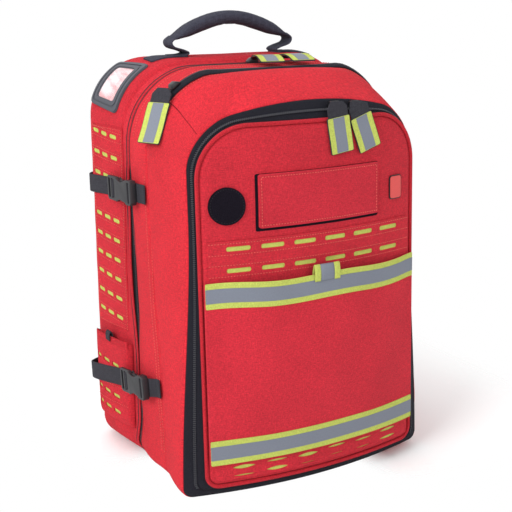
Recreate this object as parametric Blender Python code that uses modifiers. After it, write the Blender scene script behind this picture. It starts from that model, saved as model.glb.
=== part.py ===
"""Trauma backpack: a three-section medical pack, closed and standing on its base.

Metres, +Z up. The front lid faces -Y, the wearer's back is at +Y, +X is the viewer's right.
The origin lies on the floor under the pack, on the underside of the middle section's base panel.
"""

import math

import bmesh
import bpy
from mathutils import Vector

# Fits
GAP = 0.0004            # clearance between pieces that touch
WALL = 0.005            # padded fabric wall
WEBBING = 0.0016        # webbing thickness
STRAP_WIDTH = 0.022     # compression webbing width

# Pack body
BASE_T = 0.004          # rubberised base panel
BOTTOM = BASE_T + GAP   # underside of the padded sections
BASE_INSET = 0.003      # base panels stop short of the main zip
BASE_FRONT_Y = -0.075   # front edge of the middle section's base panel
BASE_RADIUS = 0.012
BOTTOM_RADIUS = 0.022
FOOT_RADIUS = 0.008     # least radius of a lower corner
TOP_RADIUS = 0.088      # upper corners at the main zip
SPLIT_Y = 0.035         # plane of the main zip between the rear and middle sections
SLIT = 0.006            # width of the groove that holds the main zip
SPLIT_HALF = 0.158      # half width at the main zip
SPLIT_TOP = 0.480       # height at the main zip
REAR_HALF = 0.170       # half width where the rear section is widest
REAR_TOP = 0.487
REAR_RADIUS = 0.070     # upper corners near the back
REAR_Y = 0.141          # outer face of the back panel
REAR_EDGE = 0.026       # round between the sides and the back
ZIP_FLAT = 0.008        # level strip beside the main zip, under its sliders
SHOULDER_Y = 0.058      # where the rear section's top reaches its full height

# Middle section
MAIN_HALF = 0.161
MAIN_TOP = 0.481
MAIN_RADIUS = 0.093     # upper corners under the top zip
CROWN_RADIUS = 0.100    # upper corners between the top zip and the front rim
RIM_Y = -0.1188         # front rim, on the centre line
RIM_HALF = 0.1485       # half width of the front rim above its flare
RIM_TOP = 0.4512
RIM_BOTTOM = 0.009
RIM_TOP_RADIUS = 0.050
RIM_BOTTOM_RADIUS = 0.010
RIM_ARCH = 0.027        # drop of the rim's top towards its corners
RIM_FLARE = 0.0165      # how much wider the rim is at its foot
RIM_FLARE_TOP = 0.33    # height at which the flare starts
TOP_ZIP_Y = -0.030      # centre of the top pocket's zip
TOP_ZIP_WIDTH = 0.016
MID_WALL_Y = -0.052     # padded divider between the front and main compartments
MID_WALL_T = 0.004

# Curve of the front
BOW = 0.9               # set-back of the front per metre of width squared
LEAN = 0.038            # set-back of the front per metre of height
LEAN_Z = 0.25
BOW_START = 0.0         # the bow grows from here
BOW_FULL = -0.10        # to here

# Front lid
LID_HALF = 0.140
LID_BOTTOM = 0.0245
LID_TOP = 0.427
LID_TOP_RADIUS = 0.055
LID_BOTTOM_RADIUS = 0.012
LID_Y = -0.1315         # front face on the centre line
LID_EDGE_Y = -0.1275    # back edge of the lid's side
LID_ROUND = 0.004       # round of the lid's front edge
LID_EDGE_PROFILE = ((0.0, 1.6), (0.3, 0.55), (0.75, 0.12))  # depth and inset per round
LID_FACET = 0.028       # width of a flat of the bowed front
LID_WALL = 0.003
PIPING_R = 0.0024
PIPING_SIDES = 6
COIL_SHARE = 0.5        # the coil runs along the middle of the band between lid and rim
COIL_Y = LID_EDGE_Y + (RIM_Y - LID_EDGE_Y) * COIL_SHARE
TAPE_T = 0.002          # zip tape thickness

# Front lid's trim
MOLLE_T = 0.0014
MOLLE_BOTTOM = 0.0310
MOLLE_TOP = 0.310
MOLLE_RADIUS = 0.008
MOLLE_MARGIN = 0.0135   # beside the outermost slots
SLOT_LENGTH = 0.028
SLOT_HEIGHT = 0.006
SLOT_RADIUS = 0.0025
SLOT_PITCH = 0.0402
SLOT_COLUMNS = 6
MOLLE_HALF = SLOT_PITCH * (SLOT_COLUMNS - 1) / 2 + SLOT_LENGTH / 2 + MOLLE_MARGIN
FRONT_SLOT_ROWS = (0.297, 0.273, 0.0464, 0.0362)
POCKET_HALF = 0.136
POCKET_BOTTOM = 0.0515
POCKET_TOP = 0.260
POCKET_T = 0.002
POCKET_BULGE = 0.0078   # room in the slip pocket at its middle
POCKET_SWELL_SIDE = 0.6 # share of the half width over which it swells from its sides
POCKET_SWELL_FOOT = 0.09    # height over which it swells from its foot
TAPE_HEIGHT = 0.028
REFLECTIVE_T = 0.0008
TRIM_RADIUS = 0.002
NAME_LEFT = -0.0764
NAME_RIGHT = 0.083
NAME_BOTTOM = 0.317
NAME_TOP = 0.376
NAME_T = 0.003
NAME_RADIUS = 0.003

# Zip pulls
PULL_WIDTH = 0.030
PULL_TAPE = 0.041       # reflective part
TOP_PULL_TAPE = 0.048
PULL_NECK = 0.016       # webbing part
PULL_NECK_SHARE = 0.86  # width of the neck per width of the tape
PULL_EYE_SHARE = 0.5    # width at the slider's eye per width of the tape
PULL_EYE = 0.006        # length over which the neck widens
PULL_RADIUS = 0.004
PULL_T = 0.0022
FRONT_PULL_SLANT = (math.radians(8), math.radians(19))
FRONT_PULL_STAND = 0.013    # front pulls' pins stand this far off the coil
FRONT_PULL_RAISE = 0.005    # and this far above it
FRONT_PULL_HANG = -0.035    # forward lean per length
SLIDER_WIDTH = 0.010
SLIDER_FRONT = 0.007    # slider body ahead of its seat
SLIDER_BACK = 0.004
SLIDER_T = 0.0025
FRONT_SLIDER_ROOM = 0.0016  # front sliders ride along a bowed zip
NOSE_BACK = 0.0018      # the nose ends this far behind its pin
TOP_SLIDER_ROOM = 0.0012    # the top slider rides round a corner
FRONT_SLIDER_X = (0.0215, 0.0500)
MAIN_SLIDER_X = (0.008, 0.042)
MAIN_PULL_SWEEP = (math.radians(104), math.radians(96))     # main pulls lie towards the front
MAIN_PIN = (0.004, -0.0095, 0.0055)     # a main pull's pin from its slider's middle
MAIN_SLIDER_PROFILE = ((-0.008, GAP), (0.006, GAP), (0.006, 0.0035),
                       (0.003, 0.0068), (-0.003, 0.0068), (-0.008, 0.0025))
TOP_SLIDER_PROFILE = ((-0.007, TOP_SLIDER_ROOM), (0.0055, TOP_SLIDER_ROOM), (0.0055, 0.0035),
                      (0.003, 0.0066), (-0.003, 0.0066), (-0.007, 0.003))
TOP_PIN = (0.0083, 0.0118)  # the top pull's pin, out from the seat and down from it
TOP_PULL_ACROSS = (-0.455, 0.8905, 0)
TOP_PULL_DOWN = (-0.425, -0.19, -0.888)

# Rear section's sides
SIDE_MOLLE_Y = (0.0485, 0.1145)
SIDE_MOLLE_Z = (0.163, 0.411)
SIDE_MOLLE_RADIUS = 0.004
SIDE_SLOT = 0.014
SIDE_SLOT_Y = (0.060, 0.0825, 0.1045)
SIDE_ROW_PITCH = 0.0254
SIDE_ROW_TOP = 0.402
SIDE_ROWS = 9
SIDE_POCKET_Y = (0.040, 0.1145)
SIDE_POCKET_Z = (0.038, 0.151)
SIDE_POCKET_DEPTH = 0.0098
SIDE_POCKET_WALL = 0.002
SIDE_POCKET_HEM = 0.4       # share of its wall by which a sewn edge stands off
SIDE_POCKET_FILL = ((0.0, 0.55), (0.06, 0.85), (0.2, 1.0), (0.75, 1.0), (1.0, 0.92))
SIDE_POCKET_EDGE = ((0.001, 0.4), (0.004, 0.1))     # distance in, and share of the depth short

# Compression straps
MOUTH_Y = {"upper": 0.043, "lower": 0.015}      # depth of the socket's mouth
STRAP_Z = {"upper": 0.3415, "lower": 0.1105}    # height there
STRAP_TILT = {"upper": math.radians(-3), "lower": math.radians(-9)}
MAIN_ANCHOR_Y = {"upper": -0.019, "lower": -0.045}  # where the short webbing is sewn down
BUCKLE_HEIGHT = 0.029
BUCKLE_CHAMFER = 0.003
BUCKLE_WAIST = 0.0042   # squeeze cut-outs beside the latch arms
BUCKLE_T = 0.008
BUCKLE_PLATE = 0.002    # each wall of the socket
SOCKET = 0.030          # socket depth
BAR_BLOCK = 0.014       # solid end with the webbing bar
PRONG_T = 0.0032
MALE_BASE = 0.029
MALE_REACH = 0.022      # length of the latch arms
MALE_STEP = 0.0006      # the shoulder stops this far from the socket
MALE_SLOTS = (0.5, 0.8)     # share of the base along which the webbing slots lie
MALE_SLOT_HALF = 0.0026
LATCH_DEPTH = 0.0065    # inner edge of a latch arm from the buckle's edge
LATCH_NECK = 0.003
LATCH_BARB = 0.0015
PRONG_HALF = 0.0018
BAR_SLOT = (0.0045, 0.0095)     # webbing slot from the socket's blunt end
SLOT_ROOM = 0.0008      # slots are this much longer than the webbing is wide
SLOT_CORNER = 0.001
CUTTER_OVERRUN = 0.01
SEWN_ROOM = 0.0006      # keeps sewn webbing clear of the cover
SEWN_RUN = 0.009        # length sewn flat at the front end
BACK_ROOM = 0.0022      # strap's middle over the back panel

# Document window on the rear section's upper left corner
WINDOW_Y = (0.062, 0.118)
WINDOW_ANGLE = (math.radians(25), math.radians(75))
WINDOW_BORDER = 0.011
WINDOW_T = 0.0022
FILM_T = 0.0006

# Carrying handle
HANDLE_Y = 0.080
HANDLE_ROOT = 0.066     # half distance between the sewn roots
HANDLE_KNUCKLE = 0.0795 # half width at the outward bend
HANDLE_RISE = 0.0535    # top of the grip above the pack
HANDLE_WIDTH = 0.028
HANDLE_T = 0.011
HANDLE_SEAM = 0.0015    # the sewn strip is narrower by this at each edge
HANDLE_TAIL = 0.045     # sewn tail outside each root
HANDLE_NECK = 0.004     # width at the root, so that it can tip
HANDLE_ROOM = 0.0006    # lets the root tip without touching its webbing

# Harness
PAD_HALF = 0.112
PAD_BOTTOM = 0.100
PAD_TOP = 0.445
PAD_T = 0.016
STRAP_X = 0.062         # half distance between the shoulder straps
STRAP_PAD_WIDTH = 0.062
STRAP_PAD_T = 0.012
STRAP_STAND = 0.045     # how far a shoulder strap stands off the back panel
HARNESS_WEBBING = 0.025
FRAME_SHEET_T = 0.0016
FRAME_MARGIN = 0.015    # between the frame sheet and the back panel's edge
FRAME_RADIUS = 0.05
PAD_RADII = (0.040, 0.060)
PAD_PROFILE = ((0.0, 0.003), (0.3, 0.0), (0.7, 0.007), (0.93, 0.019), (1.0, 0.037))  # share of thickness, inset
STRAP_HEAD = 0.008      # a shoulder strap starts this far above the pad
STRAP_LENGTH = 0.300
STRAP_STATIONS = (      # outwards, back from its full stand-off, share of its length, share of its width
    (-0.014, -0.035, 0.0, 0.68), (-0.012, -0.012, 0.013, 0.81), (-0.008, 0.0, 0.10, 0.94),
    (0.0, 0.004, 0.33, 1.0), (0.012, 0.002, 0.60, 1.0), (0.020, -0.006, 0.83, 0.81), (0.026, -0.014, 1.0, 0.55),
)
ADJUSTER = (0.035, 0.030, 0.004)    # width, height and thickness
ADJUSTER_SLOT = (0.027, 0.0056)
ADJUSTER_PITCH = 0.015
TAIL_SEWN = (0.008, 0.030, 0.052)   # where the harness webbing comes down, lies flat and ends, under the pad

CORNER_STEPS = 6
EDGE_STEPS = 4
SIDE_STEPS = 3

RED = (0.72, 0.03, 0.045, 1)
DARK_RED = (0.60, 0.025, 0.04, 1)
BLACK = (0.022, 0.022, 0.027, 1)
GREY = (0.20, 0.21, 0.23, 1)
SILVER = (0.42, 0.45, 0.50, 1)
LIME = (0.68, 0.86, 0.08, 1)
CLEAR = (0.90, 0.86, 0.86, 1)


# Scene and materials

def start_scene():
    for old in list(bpy.data.objects):
        bpy.data.objects.remove(old, do_unlink=True)
    groups = []
    for title in ("trauma_backpack", "cutters"):
        group = bpy.data.collections.new(title)
        bpy.context.scene.collection.children.link(group)
        groups.append(group)
    return groups


PARTS, CUTTERS = start_scene()


def finish_of(name, colour, roughness, metallic):
    material = bpy.data.materials.new(name)
    material.use_nodes = True
    shader = material.node_tree.nodes["Principled BSDF"]
    shader.inputs["Base Color"].default_value = colour
    shader.inputs["Roughness"].default_value = roughness
    shader.inputs["Metallic"].default_value = metallic
    material.diffuse_color = colour
    return material


def add_part(name, mesh, colour, roughness=0.8, metallic=0.0):
    mesh.name = name
    mesh.materials.clear()
    mesh.materials.append(finish_of(name, colour, roughness, metallic))
    part = bpy.data.objects.new(name, mesh)
    PARTS.objects.link(part)
    mesh.shade_smooth()
    mesh.set_sharp_from_angle(angle=math.radians(40))
    return part


def mesh_from(bm, outward=True):
    if outward:
        bmesh.ops.recalc_face_normals(bm, faces=bm.faces)
        if bm.calc_volume(signed=True) < 0:
            bmesh.ops.reverse_faces(bm, faces=bm.faces)
    mesh = bpy.data.meshes.new("shape")
    bm.to_mesh(mesh)
    bm.free()
    return mesh


# Outlines, lofts, panels and ribbons

def arc(centre, radius, start, end, steps):
    points = []
    for i in range(steps + 1):
        angle = start + (end - start) * i / steps
        points.append((centre[0] + radius * math.cos(angle), centre[1] + radius * math.sin(angle)))
    return points


def between(a, b, steps):
    return [(a[0] + (b[0] - a[0]) * i / steps, a[1] + (b[1] - a[1]) * i / steps) for i in range(1, steps)]


def outline(half, bottom, top, bottom_radius, top_radius, arch=0.0):
    """Closed outline in x and z, anticlockwise seen from the front, from the bottom centre."""
    low = arc((half - bottom_radius, bottom + bottom_radius), bottom_radius, -math.pi / 2, 0, CORNER_STEPS)
    high = arc((half - top_radius, top - top_radius), top_radius, 0, math.pi / 2, CORNER_STEPS)
    right = between((0, bottom), low[0], EDGE_STEPS) + low
    right += between(low[-1], high[0], SIDE_STEPS) + high + between(high[-1], (0, top), EDGE_STEPS)
    middle = (bottom + top) / 2
    dropped = []
    for x, z in right:
        share = max(0.0, (z - middle) / (top - middle))
        dropped.append((x, z - arch * share * (x / half) ** 2))
    left = [(-x, z) for x, z in reversed(dropped)]
    return [(0, bottom)] + dropped + [(0, top)] + left


def rounded_rectangle(u0, u1, v0, v1, radius, steps=3):
    quarter = math.pi / 2
    points = arc((u1 - radius, v0 + radius), radius, -quarter, 0, steps)
    points += arc((u1 - radius, v1 - radius), radius, 0, quarter, steps)
    points += arc((u0 + radius, v1 - radius), radius, quarter, 2 * quarter, steps)
    points += arc((u0 + radius, v0 + radius), radius, 2 * quarter, 3 * quarter, steps)
    return points


def loft(rings, cap_front=False, cap_rear=False):
    """Skin over rings of points listed from front to rear, with faces pointing out."""
    bm = bmesh.new()
    rows = [[bm.verts.new(point) for point in ring] for ring in rings]
    count = len(rows[0])
    for front, rear in zip(rows, rows[1:]):
        for j in range(count):
            k = (j + 1) % count
            bm.faces.new((front[j], rear[j], rear[k], front[k]))
    if cap_front:
        bm.faces.new(rows[0])
    if cap_rear:
        bm.faces.new(list(reversed(rows[-1])))
    return bm


def wall(part, thickness):
    solid = part.modifiers.new("wall", "SOLIDIFY")
    solid.thickness = thickness
    solid.offset = -1.0
    solid.use_even_offset = True
    return part


def slice_mesh(bm, axis, places):
    normal = Vector((0, 0, 0))
    normal[axis] = 1.0
    for place in places:
        point = Vector((0, 0, 0))
        point[axis] = place
        everything = bm.verts[:] + bm.edges[:] + bm.faces[:]
        bmesh.ops.bisect_plane(bm, geom=everything, dist=1e-7, plane_co=point, plane_no=normal)


def steps_between(start, end, pitch):
    count = max(2, round((end - start) / pitch))
    return [start + (end - start) * i / count for i in range(1, count)]


def flat_shape(outer, holes, thickness):
    """Flat outline in u and v with holes, between w = 0 and w = thickness."""
    curve = bpy.data.curves.new("outline", "CURVE")
    curve.dimensions = "2D"
    curve.fill_mode = "BOTH"
    curve.extrude = thickness / 2
    for loop in [outer] + list(holes):
        spline = curve.splines.new("POLY")
        spline.points.add(len(loop) - 1)
        for point, (u, v) in zip(spline.points, loop):
            point.co = (u, v, 0, 1)
        spline.use_cyclic_u = True
    guide = bpy.data.objects.new("outline", curve)
    CUTTERS.objects.link(guide)
    bpy.context.view_layer.update()
    ready = guide.evaluated_get(bpy.context.evaluated_depsgraph_get())
    mesh = bpy.data.meshes.new_from_object(ready)
    bpy.data.objects.remove(guide)
    bm = bmesh.new()
    bm.from_mesh(mesh)
    bpy.data.meshes.remove(mesh)
    bmesh.ops.remove_doubles(bm, verts=bm.verts, dist=1e-6)
    for vert in bm.verts:
        vert.co.z += thickness / 2
    return bm


def panel(name, colour, outer, thickness, place, holes=(), u_cuts=(), v_cuts=(), roughness=0.8):
    """Sheet piece cut to a flat outline and laid on a surface by the function place(u, v, w)."""
    bm = flat_shape(outer, holes, thickness)
    slice_mesh(bm, 0, u_cuts)
    slice_mesh(bm, 1, v_cuts)
    for vert in bm.verts:
        vert.co = place(*vert.co)
    return add_part(name, mesh_from(bm), colour, roughness)


def ribbon(name, colour, path, across, widths, thickness, roughness=0.75):
    """Flat strip along a path, with its width along the direction across at each point."""
    points = [Vector(p) for p in path]
    rings = []
    for i, point in enumerate(points):
        before = points[max(i - 1, 0)]
        after = points[min(i + 1, len(points) - 1)]
        sideways = Vector(across[i]).normalized()
        normal = (after - before).normalized().cross(sideways).normalized() * thickness / 2
        side = sideways * widths[i] / 2
        rings.append([point - side - normal, point + side - normal, point + side + normal, point - side + normal])
    return add_part(name, mesh_from(loft(rings, True, True)), colour, roughness)


def even(value, path):
    return [value] * len(path)


# Surfaces of the pack

def smooth(share):
    share = min(1.0, max(0.0, share))
    return share * share * (3 - 2 * share)


def bowed(x, y, z):
    """Point of the front half, set back by the bow and the lean of the front."""
    weight = smooth((BOW_START - y) / (BOW_START - BOW_FULL))
    return Vector((x, y + weight * (BOW * x * x + LEAN * (z - LEAN_Z)), z))


def on_lid(lift):
    return lambda u, v, w: bowed(u, LID_Y - lift - w, v)


def rear_share(y):
    share = (y - SPLIT_Y) / (REAR_Y - REAR_EDGE - SPLIT_Y)
    return min(1.0, max(0.0, share))


def rear_half(y):
    return SPLIT_HALF + (REAR_HALF - SPLIT_HALF) * rear_share(y)


def rear_radius(y):
    return TOP_RADIUS + (REAR_RADIUS - TOP_RADIUS) * rear_share(y)


def rear_top(y):
    start = SPLIT_Y + ZIP_FLAT
    share = (y - start) / (SHOULDER_Y - start)
    return SPLIT_TOP + (REAR_TOP - SPLIT_TOP) * min(1.0, max(0.0, share))


def on_rear_side(side, lift):
    return lambda u, v, w: Vector((side * (rear_half(u) + lift + w), u, v))


def on_rear_corner(side, lift):
    """Upper corner of the rear section: u is the angle from the top, v runs rearwards."""
    def place(u, v, w):
        radius = rear_radius(v)
        reach = radius + lift + w
        x = rear_half(v) - radius + reach * math.sin(u)
        return Vector((side * x, v, rear_top(v) - radius + reach * math.cos(u)))
    return place


def rear_ring(y, inset=0.0):
    points = outline(rear_half(y) - inset, BOTTOM + inset, rear_top(y) - inset,
                     max(FOOT_RADIUS, BOTTOM_RADIUS - inset), rear_radius(y) - inset)
    return [(x, y, z) for x, z in points]


def lid_outline(out):
    return outline(LID_HALF + out, LID_BOTTOM - out, LID_TOP + out,
                   LID_BOTTOM_RADIUS + out, LID_TOP_RADIUS + out)


def rim_outline(out):
    """Outline of the front rim, which widens towards its foot."""
    points = outline(RIM_HALF + out, RIM_BOTTOM - out, RIM_TOP + out,
                     RIM_BOTTOM_RADIUS + out, RIM_TOP_RADIUS + out, RIM_ARCH)
    return [(x * (1 + RIM_FLARE / RIM_HALF * smooth(1 - z / RIM_FLARE_TOP)), z) for x, z in points]


def mixed(first, second, share):
    return [(x + (a - x) * share, z + (b - z) * share) for (x, z), (a, b) in zip(first, second)]


def lid_ring(y, out):
    return [bowed(x, y, z) for x, z in lid_outline(out)]


def band_ring(y, share):
    """Ring in the front zip's band, between the lid's outline and the rim's."""
    return [bowed(x, y, z) for x, z in mixed(lid_outline(0.0), rim_outline(0.0), share)]


TOP_ZIP_FRONT = TOP_ZIP_Y - TOP_ZIP_WIDTH / 2
TOP_ZIP_REAR = TOP_ZIP_Y + TOP_ZIP_WIDTH / 2
MAIN_STATIONS = (      # y, half width, top, upper corners' radius, share of the rim's outline
    (RIM_Y, MAIN_HALF, MAIN_TOP, CROWN_RADIUS, 1.0),
    (RIM_Y * 0.80, MAIN_HALF, MAIN_TOP, CROWN_RADIUS, 0.62),
    (RIM_Y * 0.57, MAIN_HALF, MAIN_TOP, CROWN_RADIUS, 0.25),
    (TOP_ZIP_FRONT, MAIN_HALF, MAIN_TOP, MAIN_RADIUS, 0.0),
    (TOP_ZIP_REAR, MAIN_HALF, MAIN_TOP, MAIN_RADIUS, 0.0),
    (0.0, MAIN_HALF, MAIN_TOP, MAIN_RADIUS, 0.0),
    (SPLIT_Y - SLIT / 2, SPLIT_HALF, SPLIT_TOP, TOP_RADIUS, 0.0),
)


def main_section(y):
    """Half width, top, upper corners' radius and share of the rim's outline at a station y."""
    for front, rear in zip(MAIN_STATIONS, MAIN_STATIONS[1:]):
        if y <= rear[0]:
            share = (y - front[0]) / (rear[0] - front[0])
            return [a + (b - a) * share for a, b in zip(front[1:], rear[1:])]
    return MAIN_STATIONS[-1][1:]


def main_ring(y, out=0.0):
    half, top, radius, share = main_section(y)
    box = outline(half + out, BOTTOM - out, top + out, BOTTOM_RADIUS + out, radius + out)
    return [bowed(x, y, z) for x, z in mixed(box, rim_outline(out), share)]


# Rear section

def make_rear_shell():
    front = SPLIT_Y + SLIT / 2
    edge_y = REAR_Y - REAR_EDGE
    rings = [rear_ring(y) for y in (front, SPLIT_Y + ZIP_FLAT, SHOULDER_Y, edge_y)]
    for step in (1, 2, 3):
        turn = math.pi / 2 * step / 3
        rings.append(rear_ring(edge_y + REAR_EDGE * math.sin(turn), REAR_EDGE * (1 - math.cos(turn))))
    shell = add_part("rear_gusset", mesh_from(loft(rings), False), RED)
    wall(shell, WALL)
    inset = REAR_EDGE + WALL * 0.3 + GAP
    half = REAR_HALF - inset
    low = BOTTOM + inset
    high = REAR_TOP - inset
    back = outline(half, low, high, FOOT_RADIUS, REAR_RADIUS - inset)
    panel("back_panel", BLACK, back, WALL, lambda u, v, w: Vector((u, REAR_Y - WALL + w, v)))
    half -= FRAME_MARGIN
    sheet = rounded_rectangle(-half, half, low + FRAME_MARGIN, high - FRAME_MARGIN, FRAME_RADIUS, 4)
    sheet_y = REAR_Y - WALL - GAP - FRAME_SHEET_T
    panel("frame_sheet", GREY, sheet, FRAME_SHEET_T, lambda u, v, w: Vector((u, sheet_y + w, v)))
    coil = [rear_ring(SPLIT_Y + GAP / 2, TAPE_T), rear_ring(front - GAP, TAPE_T)]
    wall(add_part("main_zip_tape_rear", mesh_from(loft(coil), False), BLACK), TAPE_T)


def make_base(name, y0, y1, half):
    corners = rounded_rectangle(-half, half, y0, y1, BASE_RADIUS)
    panel(name, BLACK, corners, BASE_T, lambda u, v, w: Vector((u, v, w)), roughness=0.6)


def make_window():
    near, far = WINDOW_ANGLE
    radius = rear_radius(sum(WINDOW_Y) / 2)
    turn = WINDOW_BORDER / radius
    border = [(near, WINDOW_Y[0]), (far, WINDOW_Y[0]), (far, WINDOW_Y[1]), (near, WINDOW_Y[1])]
    inside = [(near + turn, WINDOW_Y[0] + WINDOW_BORDER), (far - turn, WINDOW_Y[0] + WINDOW_BORDER),
              (far - turn, WINDOW_Y[1] - WINDOW_BORDER), (near + turn, WINDOW_Y[1] - WINDOW_BORDER)]
    cuts = steps_between(0.0, math.pi / 2, math.pi / 24)
    bend = [REAR_Y - REAR_EDGE]
    panel("id_window_frame", GREY, border, WINDOW_T, on_rear_corner(-1, GAP), [inside], u_cuts=cuts, v_cuts=bend)
    slack = GAP / radius
    pane = [(inside[0][0] + slack, inside[0][1] + GAP), (inside[1][0] - slack, inside[1][1] + GAP),
            (inside[2][0] - slack, inside[2][1] - GAP), (inside[3][0] + slack, inside[3][1] - GAP)]
    panel("id_window_film", CLEAR, pane, FILM_T, on_rear_corner(-1, GAP), u_cuts=cuts, roughness=0.15)


def slot_at(u, v, length, steps):
    return rounded_rectangle(u - length / 2, u + length / 2, v - SLOT_HEIGHT / 2, v + SLOT_HEIGHT / 2,
                             SLOT_RADIUS, steps)


def make_side_molle(side, tag):
    rows = [SIDE_ROW_TOP - SIDE_ROW_PITCH * row for row in range(SIDE_ROWS)]
    slots = [slot_at(y, z, SIDE_SLOT, 1) for z in rows for y in SIDE_SLOT_Y]
    outer = rounded_rectangle(*SIDE_MOLLE_Y, *SIDE_MOLLE_Z, SIDE_MOLLE_RADIUS, 2)
    panel("side_molle_" + tag, RED, outer, MOLLE_T, on_rear_side(side, GAP), slots)


def make_side_pocket(side, tag):
    """Slip pocket: a front and two gussets, open above and sewn to the side all round."""
    rings = []
    y0, y1 = SIDE_POCKET_Y
    hem = GAP + SIDE_POCKET_WALL * SIDE_POCKET_HEM
    for share, fill in SIDE_POCKET_FILL:
        z = SIDE_POCKET_Z[0] + (SIDE_POCKET_Z[1] - SIDE_POCKET_Z[0]) * share
        depth = SIDE_POCKET_DEPTH * fill
        edge = [(back, GAP + depth * (1 - short)) for back, short in SIDE_POCKET_EDGE]
        profile = [(y0, hem)] + [(y0 + back, lift) for back, lift in edge]
        profile += [(y0 + (y1 - y0) * s, GAP + depth) for s in (0.25, 0.5, 0.75)]
        profile += [(y1 - back, lift) for back, lift in reversed(edge)] + [(y1, hem)]
        rings.append([(side * (rear_half(y) + lift), y, z) for y, lift in profile])
    bm = bmesh.new()
    rows = [[bm.verts.new(point) for point in ring] for ring in rings]
    for low, high in zip(rows, rows[1:]):
        for j in range(len(low) - 1):
            quad = (low[j], low[j + 1], high[j + 1], high[j])
            bm.faces.new(quad if side > 0 else tuple(reversed(quad)))
    bm.faces.new(rows[0] if side < 0 else list(reversed(rows[0])))
    bm.normal_update()
    pocket = add_part("side_pocket_" + tag, mesh_from(bm, False), RED)
    wall(pocket, SIDE_POCKET_WALL)


# Compression straps and their side-release buckles

def strap_height(level, y):
    return STRAP_Z[level] + math.tan(STRAP_TILT[level]) * (y - MOUTH_Y[level])


def strap_y(level, reach):
    """Depth of a point that lies this far along a tilted strap from the socket's mouth."""
    return MOUTH_Y[level] + reach * math.cos(STRAP_TILT[level])


def strap_across(level):
    return Vector((0, -math.sin(STRAP_TILT[level]), math.cos(STRAP_TILT[level])))


def strap_lift(level):
    under = GAP + MOLLE_T if level == "upper" else GAP + SIDE_POCKET_DEPTH
    return under + GAP + WEBBING / 2


def strap_base(level):
    """Depth where a rear strap leaves its buckle, and half the pack's width under its far corner."""
    y = strap_y(level, MALE_BASE) + WEBBING
    return y, rear_half(y + STRAP_WIDTH / 2 * abs(math.sin(STRAP_TILT[level])))


def buckle_floor(level):
    """Distance from the middle plane to the inner face of a buckle, clear of both sections' sides."""
    half = strap_base(level)[1]
    rear = half + strap_lift(level) + WEBBING / 2 - (BUCKLE_T - PRONG_T) / 2 + GAP
    return max(rear, front_strap_skin() + WEBBING / 2 + GAP + WEBBING)


def front_strap_skin():
    return max(MAIN_HALF, SPLIT_HALF) + GAP + WEBBING / 2 + SEWN_ROOM


def make_rear_strap(side, tag, level):
    lift = strap_lift(level)
    seat = buckle_floor(level) + (BUCKLE_T - PRONG_T) / 2
    slot_y = strap_y(level, MALE_BASE * MALE_SLOTS[0])
    base_y, base_half = strap_base(level)
    edge_y = REAR_Y - REAR_EDGE
    path = [(seat + PRONG_T * 0.8, slot_y), (seat - WEBBING / 2 - GAP, slot_y + WEBBING),
            (base_half + lift, base_y), (REAR_HALF + lift, edge_y)]
    across = even(strap_across(level), path)
    for step in (1, 2, 3):
        turn = math.pi / 2 * step / 3
        reach = REAR_EDGE + lift * (3 - step) / 3 + BACK_ROOM
        path.append((REAR_HALF - REAR_EDGE + reach * math.cos(turn), edge_y + reach * math.sin(turn)))
        across.append(across[0].lerp(Vector((0, 0, 1)), step / 3))
    path.append((PAD_HALF + BUCKLE_T, REAR_Y + BACK_ROOM))
    across.append(Vector((0, 0, 1)))
    points = [(side * x, y, strap_height(level, y)) for x, y in path]
    ribbon("comp_strap_rear_" + tag, BLACK, points, across, even(STRAP_WIDTH, points), WEBBING)


def buckle_place(side, level, w0):
    """A buckle lies flat beside the pack, tilted with its strap: u runs rearwards from the socket's mouth."""
    floor = buckle_floor(level) + w0
    rise = math.sin(STRAP_TILT[level])
    run = math.cos(STRAP_TILT[level])

    def place(u, v, w):
        return Vector((side * (floor + w), MOUTH_Y[level] + u * run - v * rise, STRAP_Z[level] + u * rise + v * run))
    return place


def make_male(side, tag, level):
    """Ladder-lock base with two latch arms and a centre prong, moulded in one."""
    h = BUCKLE_HEIGHT / 2
    tip = -MALE_REACH
    arm = h - LATCH_DEPTH
    upper = [(MALE_BASE, h - BUCKLE_CHAMFER), (MALE_BASE - BUCKLE_CHAMFER, h), (MALE_STEP, h),
             (-BUCKLE_CHAMFER, h - LATCH_NECK), (tip + LATCH_DEPTH, h - LATCH_BARB),
             (tip + LATCH_BARB, h - LATCH_DEPTH / 2), (tip + LATCH_NECK, arm), (-PRONG_HALF, arm),
             (MALE_STEP, PRONG_HALF * 1.4), (tip, PRONG_HALF)]
    outer = upper + [(u, -v) for u, v in reversed(upper)]
    reach = STRAP_WIDTH / 2 + SLOT_ROOM
    slots = []
    for share in MALE_SLOTS:
        middle = MALE_BASE * share
        slots.append(rounded_rectangle(middle - MALE_SLOT_HALF, middle + MALE_SLOT_HALF, -reach, reach, SLOT_CORNER, 1))
    place = buckle_place(side, level, (BUCKLE_T - PRONG_T) / 2)
    panel("buckle_male_" + tag, BLACK, outer, PRONG_T, place, slots, roughness=0.45)


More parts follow.
